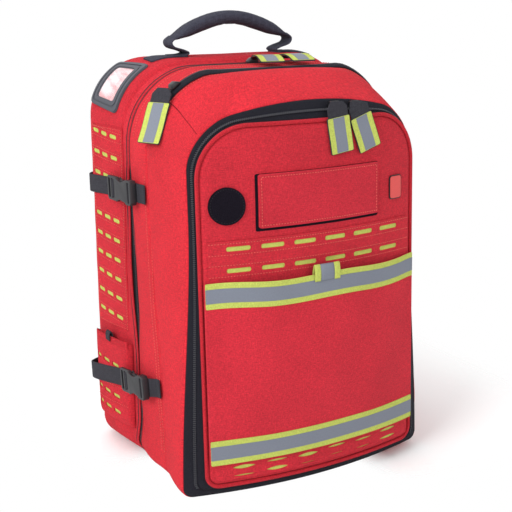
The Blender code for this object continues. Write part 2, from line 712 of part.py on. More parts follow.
def make_female(side, tag, level):
    """Socket of two plates joined at the webbing bar, waisted where the latch arms are squeezed."""
    h = BUCKLE_HEIGHT / 2
    bar = -SOCKET - BAR_BLOCK
    waist = [(-SOCKET * s, h - BUCKLE_WAIST * math.sin(math.pi * s)) for s in (0.9, 0.7, 0.5, 0.3, 0.1)]
    upper = [(bar, h - BUCKLE_CHAMFER), (bar + BUCKLE_CHAMFER, h), (-SOCKET, h)] + waist + [(0, h)]
    outer = [(u, -v) for u, v in upper] + list(reversed(upper))
    reach = STRAP_WIDTH / 2 + SLOT_ROOM
    slot = rounded_rectangle(bar + BAR_SLOT[0], bar + BAR_SLOT[1], -reach, reach, SLOT_CORNER, 1)
    place = buckle_place(side, level, 0.0)
    body = panel("buckle_female_" + tag, BLACK, outer, BUCKLE_T, place, [slot], roughness=0.45)
    far = h + CUTTER_OVERRUN
    hollow = flat_shape([(-SOCKET, -far), (CUTTER_OVERRUN, -far), (CUTTER_OVERRUN, far), (-SOCKET, far)], [],
                        BUCKLE_T - 2 * BUCKLE_PLATE)
    inner = buckle_place(side, level, BUCKLE_PLATE)
    for vert in hollow.verts:
        vert.co = inner(*vert.co)
    cutter = bpy.data.objects.new("socket_cutter_" + tag, mesh_from(hollow))
    CUTTERS.objects.link(cutter)
    cutter.hide_render = True
    cutter.display_type = "WIRE"
    cut = body.modifiers.new("socket", "BOOLEAN")
    cut.object = cutter


def make_front_strap(side, tag, level):
    floor = buckle_floor(level)
    slot_y = strap_y(level, sum(BAR_SLOT) / 2 - SOCKET - BAR_BLOCK)
    under = floor - GAP - WEBBING / 2
    skin = front_strap_skin()
    anchor = MAIN_ANCHOR_Y[level]
    path = [(floor + BUCKLE_T * 0.8, slot_y), (under, slot_y - WEBBING), (under, slot_y - BAR_BLOCK * 0.7),
            (skin, anchor + SEWN_RUN), (skin, anchor)]
    points = [(side * x, y, strap_height(level, y)) for x, y in path]
    across = even(strap_across(level), points)
    ribbon("comp_strap_front_" + tag, BLACK, points, across, even(STRAP_WIDTH, points), WEBBING)


# Carrying handle

def handle_axis_z():
    return REAR_TOP + 2 * GAP + WEBBING + HANDLE_ROOM + HANDLE_T / 2


def make_handle():
    radius = rear_radius(HANDLE_Y)
    flat = rear_half(HANDLE_Y) - radius
    reach = HANDLE_ROOT + HANDLE_TAIL
    bend = radius * math.pi / 2 / CORNER_STEPS
    cuts = [flat + bend * k for k in range(math.ceil((reach - flat) / bend))]

    def on_top(u, v, w):
        side = 1 if u > 0 else -1
        point = on_rear_corner(side, GAP)(max(0.0, abs(u) - flat) / radius, v, w)
        point.x *= min(1.0, abs(u) / flat)
        return point

    edge = HANDLE_WIDTH / 2 - HANDLE_SEAM
    strip = rounded_rectangle(-reach, reach, HANDLE_Y - edge, HANDLE_Y + edge, TRIM_RADIUS, 1)
    panel("handle_webbing", BLACK, strip, WEBBING, on_top, u_cuts=cuts + [-cut for cut in cuts])

    low = handle_axis_z()
    knuckle_z = low + HANDLE_T * 1.1
    half = [(HANDLE_ROOT - HANDLE_T / 2, low), (HANDLE_ROOT * 0.4 + HANDLE_KNUCKLE * 0.6, low + HANDLE_T * 0.27),
            (HANDLE_KNUCKLE, knuckle_z)]
    rise = REAR_TOP + HANDLE_RISE - HANDLE_T / 2 - knuckle_z
    for s in (0.80, 0.60, 0.40, 0.20, 0.0):
        half.append((HANDLE_KNUCKLE * s, knuckle_z + rise * math.cos(math.pi / 2 * s) ** 0.8))
    arch = half + [(-x, z) for x, z in reversed(half[:-1])]
    widths = [HANDLE_NECK, HANDLE_NECK * 2, HANDLE_WIDTH * 0.86] + [HANDLE_WIDTH] * (len(half) - 3)
    widths += list(reversed(widths[:-1]))
    points = [(x, HANDLE_Y, z) for x, z in arch]
    ribbon("handle_grip", BLACK, points, even((0, 1, 0), points), widths, HANDLE_T)


# Harness on the wearer's side

def make_back_pad():
    rings = []
    for share, inset in PAD_PROFILE:
        points = outline(PAD_HALF - inset, PAD_BOTTOM + inset, PAD_TOP - inset, *PAD_RADII)
        rings.append([(x, REAR_Y + GAP + PAD_T * share, z) for x, z in points])
    add_part("back_pad", mesh_from(loft(rings, True, True)), BLACK, 0.9)


def make_shoulder_strap(side, tag):
    top = PAD_TOP + STRAP_HEAD
    stand = REAR_Y + STRAP_STAND
    path = []
    widths = []
    for out, back, drop, width in STRAP_STATIONS:
        path.append((side * (STRAP_X + out), stand + back, top - STRAP_LENGTH * drop))
        widths.append(STRAP_PAD_WIDTH * width)
    flat = Vector((1, 0, 0))
    ribbon("shoulder_strap_" + tag, BLACK, path, even(flat, path), widths, STRAP_PAD_T, 0.9)

    end = Vector(path[-1])
    down = (end - Vector(path[-2])).normalized()
    width, height, depth = ADJUSTER
    lock = end + down * (GAP + height / 2)
    outer = rounded_rectangle(-width / 2, width / 2, -height / 2, height / 2, BUCKLE_CHAMFER, 2)
    slots = []
    for v in (-ADJUSTER_PITCH / 2, ADJUSTER_PITCH / 2):
        slots.append(rounded_rectangle(-ADJUSTER_SLOT[0] / 2, ADJUSTER_SLOT[0] / 2, v - ADJUSTER_SLOT[1] / 2,
                                       v + ADJUSTER_SLOT[1] / 2, SLOT_CORNER, 1))
    out = flat.cross(down).normalized()
    panel("strap_adjuster_" + tag, BLACK, outer, depth,
          lambda u, v, w: lock + flat * u - down * v + out * (w - depth / 2), slots, roughness=0.45)

    slot = lock + down * ADJUSTER_PITCH / 2
    away = out if out.y < 0 else -out
    clear = depth / 2 + WEBBING
    tail = [slot - away * (depth / 2 + WEBBING / 2), slot + away * clear + down * WEBBING / 2,
            slot + away * (clear + WEBBING / 2) + down * height * 0.4]
    sewn = REAR_Y + GAP + WEBBING / 2
    for drop, lift in zip(TAIL_SEWN, (TAIL_SEWN[0], 0.0, 0.0)):
        tail.append(Vector((tail[2].x, sewn + lift, PAD_BOTTOM - drop)))
    ribbon("shoulder_webbing_" + tag, BLACK, tail, even(flat, tail), even(HARNESS_WEBBING, tail), WEBBING)


# Middle section

def make_main_shell():
    rings = [main_ring(station[0]) for station in MAIN_STATIONS]
    wall(add_part("main_gusset", mesh_from(loft(rings), False), RED), WALL)
    inset = WALL + 3 * GAP
    ends = [main_ring(MID_WALL_Y - MID_WALL_T / 2, -inset), main_ring(MID_WALL_Y + MID_WALL_T / 2, -inset)]
    bm = loft(ends, True, True)
    add_part("mid_wall", mesh_from(bm), GREY)
    y = SPLIT_Y - GAP / 2
    front = SPLIT_Y - SLIT / 2 + GAP
    coil = [main_ring(front, -TAPE_T), main_ring(y, -TAPE_T)]
    wall(add_part("main_zip_tape_front", mesh_from(loft(coil), False), BLACK), TAPE_T)


def make_front_zip():
    bag = [band_ring(COIL_Y + GAP / 2, COIL_SHARE), band_ring(RIM_Y - GAP - TAPE_T, 1.0)]
    wall(add_part("front_zip_tape_bag", mesh_from(loft(bag), False), BLACK), TAPE_T)
    lid = [band_ring(LID_EDGE_Y + GAP, 0.0), band_ring(COIL_Y - GAP / 2, COIL_SHARE)]
    wall(add_part("front_zip_tape_lid", mesh_from(loft(lid), False), BLACK), TAPE_T)


def top_zip_arc(y, out):
    ring = main_ring(y, out)
    first = 1 + (EDGE_STEPS - 1) + (CORNER_STEPS + 1) + (SIDE_STEPS - 1) + 1
    return ring[first:len(ring) - first + 1]


def make_top_zip():
    """Zip across the top, lying over both shoulders of the middle section."""
    rings = []
    for y, out in ((TOP_ZIP_FRONT, GAP), (TOP_ZIP_REAR, GAP), (TOP_ZIP_REAR, GAP + TAPE_T), (TOP_ZIP_FRONT, GAP + TAPE_T)):
        rings.append(top_zip_arc(y, out))
    columns = list(zip(*rings))
    add_part("top_zip_tape", mesh_from(loft(columns, True, True)), BLACK)


# Front lid

def make_lid():
    rings = [lid_ring(LID_Y + LID_ROUND * depth, -LID_ROUND * inset) for depth, inset in LID_EDGE_PROFILE]
    rings.append(lid_ring(LID_EDGE_Y, 0.0))
    bm = loft(rings, True)
    slice_mesh(bm, 0, steps_between(-LID_HALF, LID_HALF, LID_FACET))
    wall(add_part("lid_panel", mesh_from(bm, False), RED), LID_WALL)
    tube = []
    for k in range(PIPING_SIDES):
        angle = 2 * math.pi * k / PIPING_SIDES
        tube.append(lid_ring(LID_EDGE_Y + GAP - PIPING_R + PIPING_R * math.cos(angle),
                             GAP + PIPING_R + PIPING_R * math.sin(angle)))
    columns = list(zip(*tube))
    add_part("lid_piping", mesh_from(loft(columns + [columns[0]])), DARK_RED)


def make_front_panels():
    cuts = steps_between(-LID_HALF, LID_HALF, LID_FACET)
    columns = [(k - (SLOT_COLUMNS - 1) / 2) * SLOT_PITCH for k in range(SLOT_COLUMNS)]
    slots = [slot_at(x, z, SLOT_LENGTH, 2) for z in FRONT_SLOT_ROWS for x in columns]
    outer = rounded_rectangle(-MOLLE_HALF, MOLLE_HALF, MOLLE_BOTTOM, MOLLE_TOP, MOLLE_RADIUS)
    panel("front_molle_panel", RED, outer, MOLLE_T, on_lid(GAP), slots, u_cuts=cuts)

    base = 2 * GAP + MOLLE_T
    low_tape = POCKET_BOTTOM + TAPE_HEIGHT
    high_tape = POCKET_TOP - TAPE_HEIGHT
    v_cuts = [low_tape, high_tape] + [POCKET_BOTTOM + POCKET_SWELL_FOOT * s for s in (0.07, 0.75, 1.3)]

    def on_pocket(lift):
        def place(u, v, w):
            edge = smooth((POCKET_HALF - abs(u)) / (POCKET_HALF * POCKET_SWELL_SIDE))
            swell = POCKET_BULGE * edge * smooth((v - POCKET_BOTTOM) / POCKET_SWELL_FOOT)
            return bowed(u, LID_Y - base - lift - swell - w, v)
        return place

    def strip(z0, z1):
        return rounded_rectangle(-POCKET_HALF, POCKET_HALF, z0, z1, TRIM_RADIUS, 1)

    panel("front_pocket", RED, strip(POCKET_BOTTOM, POCKET_TOP), POCKET_T, on_pocket(0.0), u_cuts=cuts, v_cuts=v_cuts)
    outside = on_pocket(POCKET_T + GAP)
    low = strip(POCKET_BOTTOM, low_tape)
    high = strip(high_tape, POCKET_TOP)
    panel("tape_lower", SILVER, low, REFLECTIVE_T, outside, u_cuts=cuts, v_cuts=v_cuts, roughness=0.4)
    panel("tape_upper", SILVER, high, REFLECTIVE_T, outside, u_cuts=cuts, v_cuts=v_cuts, roughness=0.4)
    flap = rounded_rectangle(NAME_LEFT, NAME_RIGHT, NAME_BOTTOM, NAME_TOP, NAME_RADIUS, 2)
    panel("name_panel", RED, flap, NAME_T, on_lid(GAP), u_cuts=cuts)


# Zip sliders and pulls

def pull_outline(tape, slant):
    """Paddle that hangs from the origin along +v: a webbing neck, level at its pin, and a wide reflective end."""
    half = PULL_WIDTH / 2
    end = PULL_NECK + tape
    eye = half * PULL_EYE_SHARE
    top = -PULL_T / 2 / math.cos(slant)
    right = [(half * PULL_NECK_SHARE, PULL_EYE), (half * PULL_NECK_SHARE, PULL_NECK - PULL_T), (half, PULL_NECK)]
    right += arc((half - PULL_RADIUS, end - PULL_RADIUS), PULL_RADIUS, 0, math.pi / 2, 2)
    left = [(-u, v) for u, v in reversed(right)]
    return [(eye, top + eye * math.tan(slant))] + right + left + [(-eye, top - eye * math.tan(slant))]


def make_pull(name, hinge, across, down, tape=PULL_TAPE, slant=0.0):
    """Pull that hangs from hinge along down and turns about across, askew by slant in its own plane."""
    pin = Vector(across).normalized()
    fall = Vector(down)
    fall = (fall - pin * fall.dot(pin)).normalized()
    normal = pin.cross(fall)
    sideways = pin * math.cos(slant) - fall * math.sin(slant)
    along = fall * math.cos(slant) + pin * math.sin(slant)
    centre = Vector(hinge)
    panel(name, LIME, pull_outline(tape, slant), PULL_T,
          lambda u, v, w: centre + sideways * u + along * v + normal * (w - PULL_T / 2), roughness=0.5)


def coil_point(x):
    """Point on the front zip's coil along the top of the lid, right of the middle."""
    ring = mixed(lid_outline(0.0), rim_outline(0.0), COIL_SHARE)
    top = ring[len(ring) // 4:len(ring) // 2 + 1]
    for right, left in zip(top, top[1:]):
        if left[0] <= x <= right[0]:
            share = (x - left[0]) / (right[0] - left[0])
            return bowed(x, COIL_Y, left[1] + (right[1] - left[1]) * share)
    raise ValueError("the slider is off the top of the lid")


def band_frame():
    """Outward normal and downward direction of the front zip's band at the top of the lid."""
    fall = Vector((0, LID_EDGE_Y - RIM_Y, LID_TOP - RIM_TOP)).normalized()
    return Vector((0, fall.z, -fall.y)), fall


def front_hinge(x):
    out, fall = band_frame()
    return coil_point(x) + out * FRONT_PULL_STAND - fall * FRONT_PULL_RAISE


def make_front_pulls():
    """Two sliders on the lid's top edge, each with a wedge body and a nose that carries its pull."""
    out, fall = band_frame()
    seat = GAP + FRONT_SLIDER_ROOM
    nose = FRONT_PULL_STAND - seat - NOSE_BACK
    profile = [(-SLIDER_FRONT, 0), (-SLIDER_FRONT - PULL_T / 2, SLIDER_T), (-FRONT_PULL_RAISE - PULL_T, nose),
               (-FRONT_PULL_RAISE + PULL_T / 2, nose), (SLIDER_BACK, SLIDER_T), (SLIDER_BACK, 0)]
    for x, slant, tag in zip(FRONT_SLIDER_X, FRONT_PULL_SLANT, "ab"):
        start = coil_point(x) + out * seat - Vector((SLIDER_WIDTH / 2, 0, 0))
        panel("front_zip_slider_" + tag, BLACK, profile, SLIDER_WIDTH,
              lambda u, v, w: start + fall * u + out * v + Vector((w, 0, 0)), roughness=0.4)
        make_pull("front_zip_tab_" + tag, front_hinge(x), (1, 0, 0), (0, FRONT_PULL_HANG, -1), slant=slant)


def main_hinge(x):
    return Vector((x, SPLIT_Y, SPLIT_TOP)) + Vector(MAIN_PIN)


def main_pull_axes(sweep):
    """Pin and direction of a main pull, which lies level."""
    return Vector((math.sin(sweep), math.cos(sweep), 0)), Vector((math.cos(sweep), -math.sin(sweep), 0))


def make_main_pulls():
    y0 = SPLIT_Y - SLIDER_WIDTH / 2
    for x, sweep, tag in zip(MAIN_SLIDER_X, MAIN_PULL_SWEEP, "ab"):
        panel("main_zip_slider_" + tag, BLACK, MAIN_SLIDER_PROFILE, SLIDER_WIDTH,
              lambda u, v, w: Vector((x + u, y0 + w, SPLIT_TOP + v)), roughness=0.4)
        make_pull("main_zip_tab_" + tag, main_hinge(x), *main_pull_axes(sweep))


def top_zip_frame():
    """Seat, outward normal and downward tangent half way round the top zip's left corner."""
    ring = top_zip_arc(TOP_ZIP_Y, GAP + TAPE_T)
    seat = (ring[-3] + ring[-4]) / 2
    fall = ring[-3] - ring[-4]
    fall = Vector((fall.x, 0, fall.z)).normalized()
    return seat, Vector((fall.z, 0, -fall.x)), fall


def top_hinge():
    seat, out, fall = top_zip_frame()
    return seat + out * TOP_PIN[0] + fall * TOP_PIN[1]


def make_top_pull():
    seat, out, fall = top_zip_frame()
    start = seat - Vector((0, SLIDER_WIDTH / 2, 0))
    panel("top_zip_slider", BLACK, TOP_SLIDER_PROFILE, SLIDER_WIDTH,
          lambda u, v, w: start + fall * u + out * v + Vector((0, w, 0)), roughness=0.4)
    make_pull("top_zip_tab", top_hinge(), TOP_PULL_ACROSS, TOP_PULL_DOWN, TOP_PULL_TAPE)


# Assembly

make_rear_shell()
make_base("base_panel_rear", SPLIT_Y + SLIT / 2 + BASE_INSET, REAR_Y - REAR_EDGE, SPLIT_HALF - BOTTOM_RADIUS)
make_window()
make_handle()
make_back_pad()
for side, tag in ((-1, "left"), (1, "right")):
    make_side_molle(side, tag)
    make_side_pocket(side, tag)
    make_shoulder_strap(side, tag)
    for level in ("upper", "lower"):
        place_name = level + "_" + tag
        make_rear_strap(side, place_name, level)
        make_male(side, place_name, level)
        make_female(side, place_name, level)
        make_front_strap(side, place_name, level)
make_main_shell()
make_base("base_panel_main", BASE_FRONT_Y, SPLIT_Y - SLIT / 2 - BASE_INSET, SPLIT_HALF - BOTTOM_RADIUS)
make_front_zip()
make_top_zip()
make_lid()
make_front_panels()
make_front_pulls()
make_main_pulls()
make_top_pull()
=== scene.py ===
"""Looks of the trauma backpack: padded fabric, zips, webbing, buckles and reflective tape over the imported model.

Metres, +Z up. The front lid faces -Y, the wearer's back is at +Y, +X is the viewer's right.
"""

import math

import bmesh
import bpy
from mathutils import Matrix, Vector, noise


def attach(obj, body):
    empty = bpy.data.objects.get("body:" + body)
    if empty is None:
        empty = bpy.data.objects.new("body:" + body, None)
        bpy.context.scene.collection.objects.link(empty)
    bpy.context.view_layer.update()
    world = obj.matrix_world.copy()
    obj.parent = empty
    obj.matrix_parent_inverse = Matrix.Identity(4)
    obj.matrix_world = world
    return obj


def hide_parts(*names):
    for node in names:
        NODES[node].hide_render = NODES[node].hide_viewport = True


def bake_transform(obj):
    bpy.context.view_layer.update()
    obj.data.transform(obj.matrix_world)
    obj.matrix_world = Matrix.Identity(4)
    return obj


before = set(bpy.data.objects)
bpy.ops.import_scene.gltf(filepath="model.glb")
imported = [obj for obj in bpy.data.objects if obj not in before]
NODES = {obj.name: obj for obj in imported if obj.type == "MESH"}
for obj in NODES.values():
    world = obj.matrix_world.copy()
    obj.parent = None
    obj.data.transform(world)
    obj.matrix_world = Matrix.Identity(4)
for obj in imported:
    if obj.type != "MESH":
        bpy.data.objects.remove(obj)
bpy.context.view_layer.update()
SCENE = bpy.context.scene
SCENE.view_settings.view_transform = "Standard"

# Pack body, as in the model
GAP = 0.0004
SPLIT_Y = 0.035
SLIT = 0.006
SPLIT_HALF = 0.158
SPLIT_TOP = 0.480
REAR_HALF = 0.170
REAR_TOP = 0.487
REAR_RADIUS = 0.070
REAR_Y = 0.141
REAR_EDGE = 0.026
ZIP_FLAT = 0.008
SHOULDER_Y = 0.058
BOTTOM = 0.0044
BOTTOM_RADIUS = 0.022
FOOT_RADIUS = 0.008
TOP_RADIUS = 0.088
COVER_WALL = 0.0042
MAIN_HALF = 0.161
MAIN_TOP = 0.481
MAIN_RADIUS = 0.093
CROWN_RADIUS = 0.100
RIM_Y = -0.1188
RIM_HALF = 0.1485
RIM_TOP = 0.4512
RIM_BOTTOM = 0.009
RIM_TOP_RADIUS = 0.050
RIM_BOTTOM_RADIUS = 0.010
RIM_ARCH = 0.027
RIM_FLARE = 0.0165
RIM_FLARE_TOP = 0.33
TOP_ZIP_Y = -0.030
TOP_ZIP_WIDTH = 0.016
MID_WALL_Y = -0.052
BOW = 0.9
LEAN = 0.038
LEAN_Z = 0.25
BOW_FULL = 0.10
LID_HALF = 0.140
LID_BOTTOM = 0.0245
LID_TOP = 0.427
LID_TOP_RADIUS = 0.055
LID_BOTTOM_RADIUS = 0.012
LID_Y = -0.1315
LID_EDGE_Y = -0.1275
LID_ROUND = 0.004
LID_WALL = 0.0026
PIPING_R = 0.0024
COIL_SHARE = 0.5
COIL_Y = LID_EDGE_Y + (RIM_Y - LID_EDGE_Y) * COIL_SHARE
TAPE_T = 0.002

# Front lid's trim
MOLLE_T = 0.0014
SLOT_CLOTH = 0.0008
MOLLE_HALF = 0.1345
MOLLE_BOTTOM = 0.0300
MOLLE_TOP = 0.3060
SLOT_LENGTH = 0.028
SLOT_HEIGHT = 0.0052
SLOT_PITCH = 0.0402
FRONT_SLOT_ROWS = (0.297, 0.273)
GAPING_ROWS = ((0.0440, (1.0, 0.55, 1.0, 0.6, 0.5, 0.8)), (0.0342, (0.4, 1.0, 0.2, 0.2, 0.25, 0.75)))
GAPING_HEIGHT = 0.0046
POCKET_HALF = 0.1405
POCKET_BOTTOM = 0.0515
POCKET_TOP = 0.260
POCKET_T = 0.002
POCKET_BULGE = 0.0078
TAPE_HEIGHT = 0.028
LIME_SHARE = 0.22
NAME_BOX = (-0.0764, 0.083, 0.317, 0.376)
PATCH = (-0.112, 0.344, 0.0205)
BADGE_BOX = (0.102, 0.122, 0.329, 0.357)

# Rings are cut into these counts: bottom half, low corner, side, high corner, top half
RING_COUNTS = (14, 8, 46, 16, 14)


# Numbers and noise

def smooth(share):
    share = min(1.0, max(0.0, share))
    return share * share * (3 - 2 * share)


def ripple(x, y, z, seed=0.0):
    return noise.noise(Vector((x + seed * 7.3, y - seed * 3.1, z + seed * 1.7)))


def bump_at(value, centre, width):
    return math.exp(-((value - centre) / width) ** 2)


# Surfaces of the pack

def bowed(x, y, z):
    weight = smooth(-y / BOW_FULL)
    return Vector((x, y + weight * (BOW * x * x + LEAN * (z - LEAN_Z)), z))


def rear_share(y):
    return min(1.0, max(0.0, (y - SPLIT_Y) / (REAR_Y - REAR_EDGE - SPLIT_Y)))


def rear_half(y):
    return SPLIT_HALF + (REAR_HALF - SPLIT_HALF) * rear_share(y)


def rear_radius(y):
    return TOP_RADIUS + (REAR_RADIUS - TOP_RADIUS) * rear_share(y)


def rear_top(y):
    share = (y - SPLIT_Y - ZIP_FLAT) / (SHOULDER_Y - SPLIT_Y - ZIP_FLAT)
    return SPLIT_TOP + (REAR_TOP - SPLIT_TOP) * smooth(share)


def arc(centre, radius, start, end, steps):
    points = []
    for i in range(steps + 1):
        angle = start + (end - start) * i / steps
        points.append((centre[0] + radius * math.cos(angle), centre[1] + radius * math.sin(angle)))
    return points


def between(a, b, steps):
    return [(a[0] + (b[0] - a[0]) * i / steps, a[1] + (b[1] - a[1]) * i / steps) for i in range(1, steps)]


def outline(half, bottom, top, low_radius, high_radius, arch=0.0):
    """Closed outline in x and z, anticlockwise seen from the front, from the bottom centre."""
    floor, low_steps, side, high_steps, roof = RING_COUNTS
    low = arc((half - low_radius, bottom + low_radius), low_radius, -math.pi / 2, 0, low_steps)
    high = arc((half - high_radius, top - high_radius), high_radius, 0, math.pi / 2, high_steps)
    right = between((0, bottom), low[0], floor) + low
    right += between(low[-1], high[0], side) + high + between(high[-1], (0, top), roof)
    middle = (bottom + top) / 2
    dropped = []
    for x, z in right:
        share = max(0.0, (z - middle) / (top - middle))
        dropped.append((x, z - arch * share * (x / half) ** 2))
    return [(0, bottom)] + dropped + [(0, top)] + [(-x, z) for x, z in reversed(dropped)]


def rear_ring(y, inset=0.0):
    points = outline(rear_half(y) - inset, BOTTOM + inset, rear_top(y) - inset,
                     max(FOOT_RADIUS, BOTTOM_RADIUS - inset), rear_radius(y) - inset)
    return [Vector((x, y, z)) for x, z in points]


def lid_outline(out):
    return outline(LID_HALF + out, LID_BOTTOM - out, LID_TOP + out, LID_BOTTOM_RADIUS + out, LID_TOP_RADIUS + out)


def rim_outline(out):
    """Outline of the front rim, which widens towards its foot."""
    points = outline(RIM_HALF + out, RIM_BOTTOM - out, RIM_TOP + out, RIM_BOTTOM_RADIUS + out,
                     RIM_TOP_RADIUS + out, RIM_ARCH)
    return [(x * (1 + RIM_FLARE / RIM_HALF * smooth(1 - z / RIM_FLARE_TOP)), z) for x, z in points]


def mixed(first, second, share):
    return [(x + (a - x) * share, z + (b - z) * share) for (x, z), (a, b) in zip(first, second)]


def lid_ring(y, out):
    return [bowed(x, y, z) for x, z in lid_outline(out)]


def band_ring(y, share, out=0.0):
    """Ring in the front zip's band, between the lid's outline and the rim's."""
    return [bowed(x, y, z) for x, z in mixed(lid_outline(out), rim_outline(out), share)]


MAIN_STATIONS = (      # y, half width, top, upper corners' radius, share of the rim's outline
    (RIM_Y, MAIN_HALF, MAIN_TOP, CROWN_RADIUS, 1.0),
    (RIM_Y * 0.80, MAIN_HALF, MAIN_TOP, CROWN_RADIUS, 0.62),
    (RIM_Y * 0.57, MAIN_HALF, MAIN_TOP, CROWN_RADIUS, 0.25),
    (TOP_ZIP_Y - TOP_ZIP_WIDTH / 2, MAIN_HALF, MAIN_TOP, MAIN_RADIUS, 0.0),
    (TOP_ZIP_Y + TOP_ZIP_WIDTH / 2, MAIN_HALF, MAIN_TOP, MAIN_RADIUS, 0.0),
    (0.0, MAIN_HALF, MAIN_TOP, MAIN_RADIUS, 0.0),
    (SPLIT_Y - SLIT / 2, SPLIT_HALF, SPLIT_TOP, TOP_RADIUS, 0.0),
)


def main_section(y):
    """Half width, top, corner radius and share of the rim's outline at a station y, on smooth curves."""
    rows = MAIN_STATIONS
    i = max(0, min(len(rows) - 2, sum(1 for row in rows if row[0] <= y) - 1))
    a, b = rows[i], rows[i + 1]
    before, after = rows[max(0, i - 1)], rows[min(len(rows) - 1, i + 2)]
    span = b[0] - a[0]
    t = (y - a[0]) / span
    out = []
    for k in (1, 2, 3, 4):
        rise_a = (b[k] - before[k]) / (b[0] - before[0]) * span
        rise_b = (after[k] - a[k]) / (after[0] - a[0]) * span
        out.append((2 * t ** 3 - 3 * t * t + 1) * a[k] + (t ** 3 - 2 * t * t + t) * rise_a
                   + (3 * t * t - 2 * t ** 3) * b[k] + (t ** 3 - t * t) * rise_b)
    return out


def main_ring(y, out=0.0):
    half, top, radius, share = main_section(y)
    box = outline(half + out, BOTTOM - out, top + out, BOTTOM_RADIUS + out, radius + out)
    return [bowed(x, y, z) for x, z in mixed(box, rim_outline(out), share)]


def side_seam_y(z):
    """Seam on the middle section's side, where the strap ends are sewn in."""
    return -0.0205 - 0.0285 * smooth((0.36 - z) / 0.30)


def slit_spread(x, z):
    """How far each lip of the main zip's groove is drawn back: open between the side straps, shut at the corners."""
    gape = 0.0056 * smooth((0.325 - z) / 0.09) * smooth((z - 0.125) / 0.09) * smooth((abs(x) - 0.12) / 0.03)
    shut = 0.00285 * smooth((z - 0.35) / 0.03) * smooth((abs(x) - 0.090) / 0.012)
    return gape - shut


def slit_shift(x, z):
    """How far the groove runs forwards towards the foot of the pack's sides."""
    return 0.0095 * smooth((0.34 - z) / 0.22) * smooth((z - 0.012) / 0.05) * smooth((abs(x) - 0.12) / 0.03)


def rear_relief(x, y, z):
    """How far the rear cover stands out from its plain form."""
    depth = (y - 0.049) / (0.118 - 0.049)
    swell = 0.0016 * math.sin(math.pi * min(1.0, max(0.0, depth))) - 0.0011 * bump_at(y, 0.0485, 0.0016)
    wave = 0.0008 * ripple(x * 6, y * 26, z * 11, 1) + 0.0006 * ripple(x * 18, y * 30, z * 30, 2)
    low = smooth((0.10 - z) / 0.08)
    return swell + wave * (1 + low) * smooth((y - SPLIT_Y - 0.002) / 0.008)


def top_zip_dip(x):
    """How far the crown's zip lies sunk behind the fuller front, away from the corners."""
    return 0.0034 * smooth((0.098 - abs(x)) / 0.030)


def main_relief(x, y, z):
    """How far the middle cover stands out from its plain form."""
    seam = side_seam_y(z)
    high = smooth((z - 0.438) / 0.016)
    side = 1 - high
    groove = -0.0020 * bump_at(y, seam, 0.0018) * side - 0.0006 * bump_at(y + slit_shift(x, z), 0.0225, 0.0016)
    front = (y - RIM_Y) / (seam - RIM_Y)
    swell = 0.0026 * math.sin(math.pi * min(1.0, max(0.0, front))) * side
    strip = (y - seam) / (0.03 - seam)
    swell += 0.0012 * math.sin(math.pi * min(1.0, max(0.0, strip))) * side
    lips = 0.0014 * (bump_at(y, -0.0440, 0.0030) + bump_at(y, -0.0160, 0.0030)) * high
    bed = -(0.0008 + top_zip_dip(x)) * bump_at(y, TOP_ZIP_Y, 0.013) * high
    fore = min(1.0, max(0.0, (y - RIM_Y) / (-0.042 - RIM_Y)))
    crown = 0.0022 * math.sin(math.pi * fore) + 0.0048 * math.sin(math.pi * fore ** 2.5) * smooth((0.13 - abs(x)) / 0.06)
    crown *= high
    wave = 0.0012 * ripple(x * 7, y * 15, z * 9, 3) + 0.0005 * ripple(x * 22, y * 26, z * 26, 4)
    low = smooth((0.13 - z) / 0.10)
    calm = smooth((y - RIM_Y) / 0.015) * smooth((0.030 - y) / 0.010)
    return groove + swell + lips + bed + crown + wave * calm * (1 + 1.6 * low)


def lid_relief(x, z):
    edge = smooth((LID_HALF - abs(x)) / 0.03) * smooth((z - LID_BOTTOM) / 0.03) * smooth((LID_TOP - 0.01 - z) / 0.04)
    return edge * (0.0009 * ripple(x * 9, z * 8, 0.4, 5) + 0.0004 * ripple(x * 22, z * 24, 0.1, 6))


def on_lid(lift):
    return lambda u, v, w=0.0: bowed(u, LID_Y - lift - w - lid_relief(u, v), v)


def pocket_top(u):
    return POCKET_TOP - 0.0010 * smooth((u - 0.02) / 0.10) + 0.0012 * math.sin(u * 46 + 0.6)


def pocket_swell(u, v):
    edge = smooth((POCKET_HALF - abs(u)) / (POCKET_HALF * 0.6))
    rise = smooth((v - POCKET_BOTTOM) / 0.09)
    fold = 0.0011 * math.sin(u * 62 + 0.8 * math.sin(v * 19) + 1.2) * smooth((v - 0.085) / 0.06)
    fold += 0.0010 * ripple(u * 16, v * 7, 0.2, 7) * smooth((v - 0.07) / 0.04)
    return POCKET_BULGE * edge * rise + fold * smooth((POCKET_HALF - abs(u)) / 0.03) * 0.8


def on_pocket(lift):
    base = 2 * GAP + MOLLE_T

    def place(u, v, w=0.0):
        share = (v - POCKET_BOTTOM) / (POCKET_TOP - POCKET_BOTTOM)
        z = POCKET_BOTTOM + (pocket_top(u) - POCKET_BOTTOM) * share
        return bowed(u, LID_Y - base - lift - w - lid_relief(u, z) - pocket_swell(u, z), z)
    return place


def on_rear_side(side, lift):
    def place(u, v, w=0.0):
        half = rear_half(u)
        return Vector((side * (half + rear_relief(side * half, u, v) + lift + w), u, v))
    return place


def on_rear_corner(side, lift):
    """Upper corner of the rear section: u is the angle from the top, v runs rearwards."""
    def place(u, v, w=0.0):
        radius = rear_radius(v)
        x = rear_half(v) - radius + radius * math.sin(u)
        z = rear_top(v) - radius + radius * math.cos(u)
        reach = rear_relief(side * x, v, z) + lift + w
        return Vector((side * (x + reach * math.sin(u)), v, z + reach * math.cos(u)))
    return place


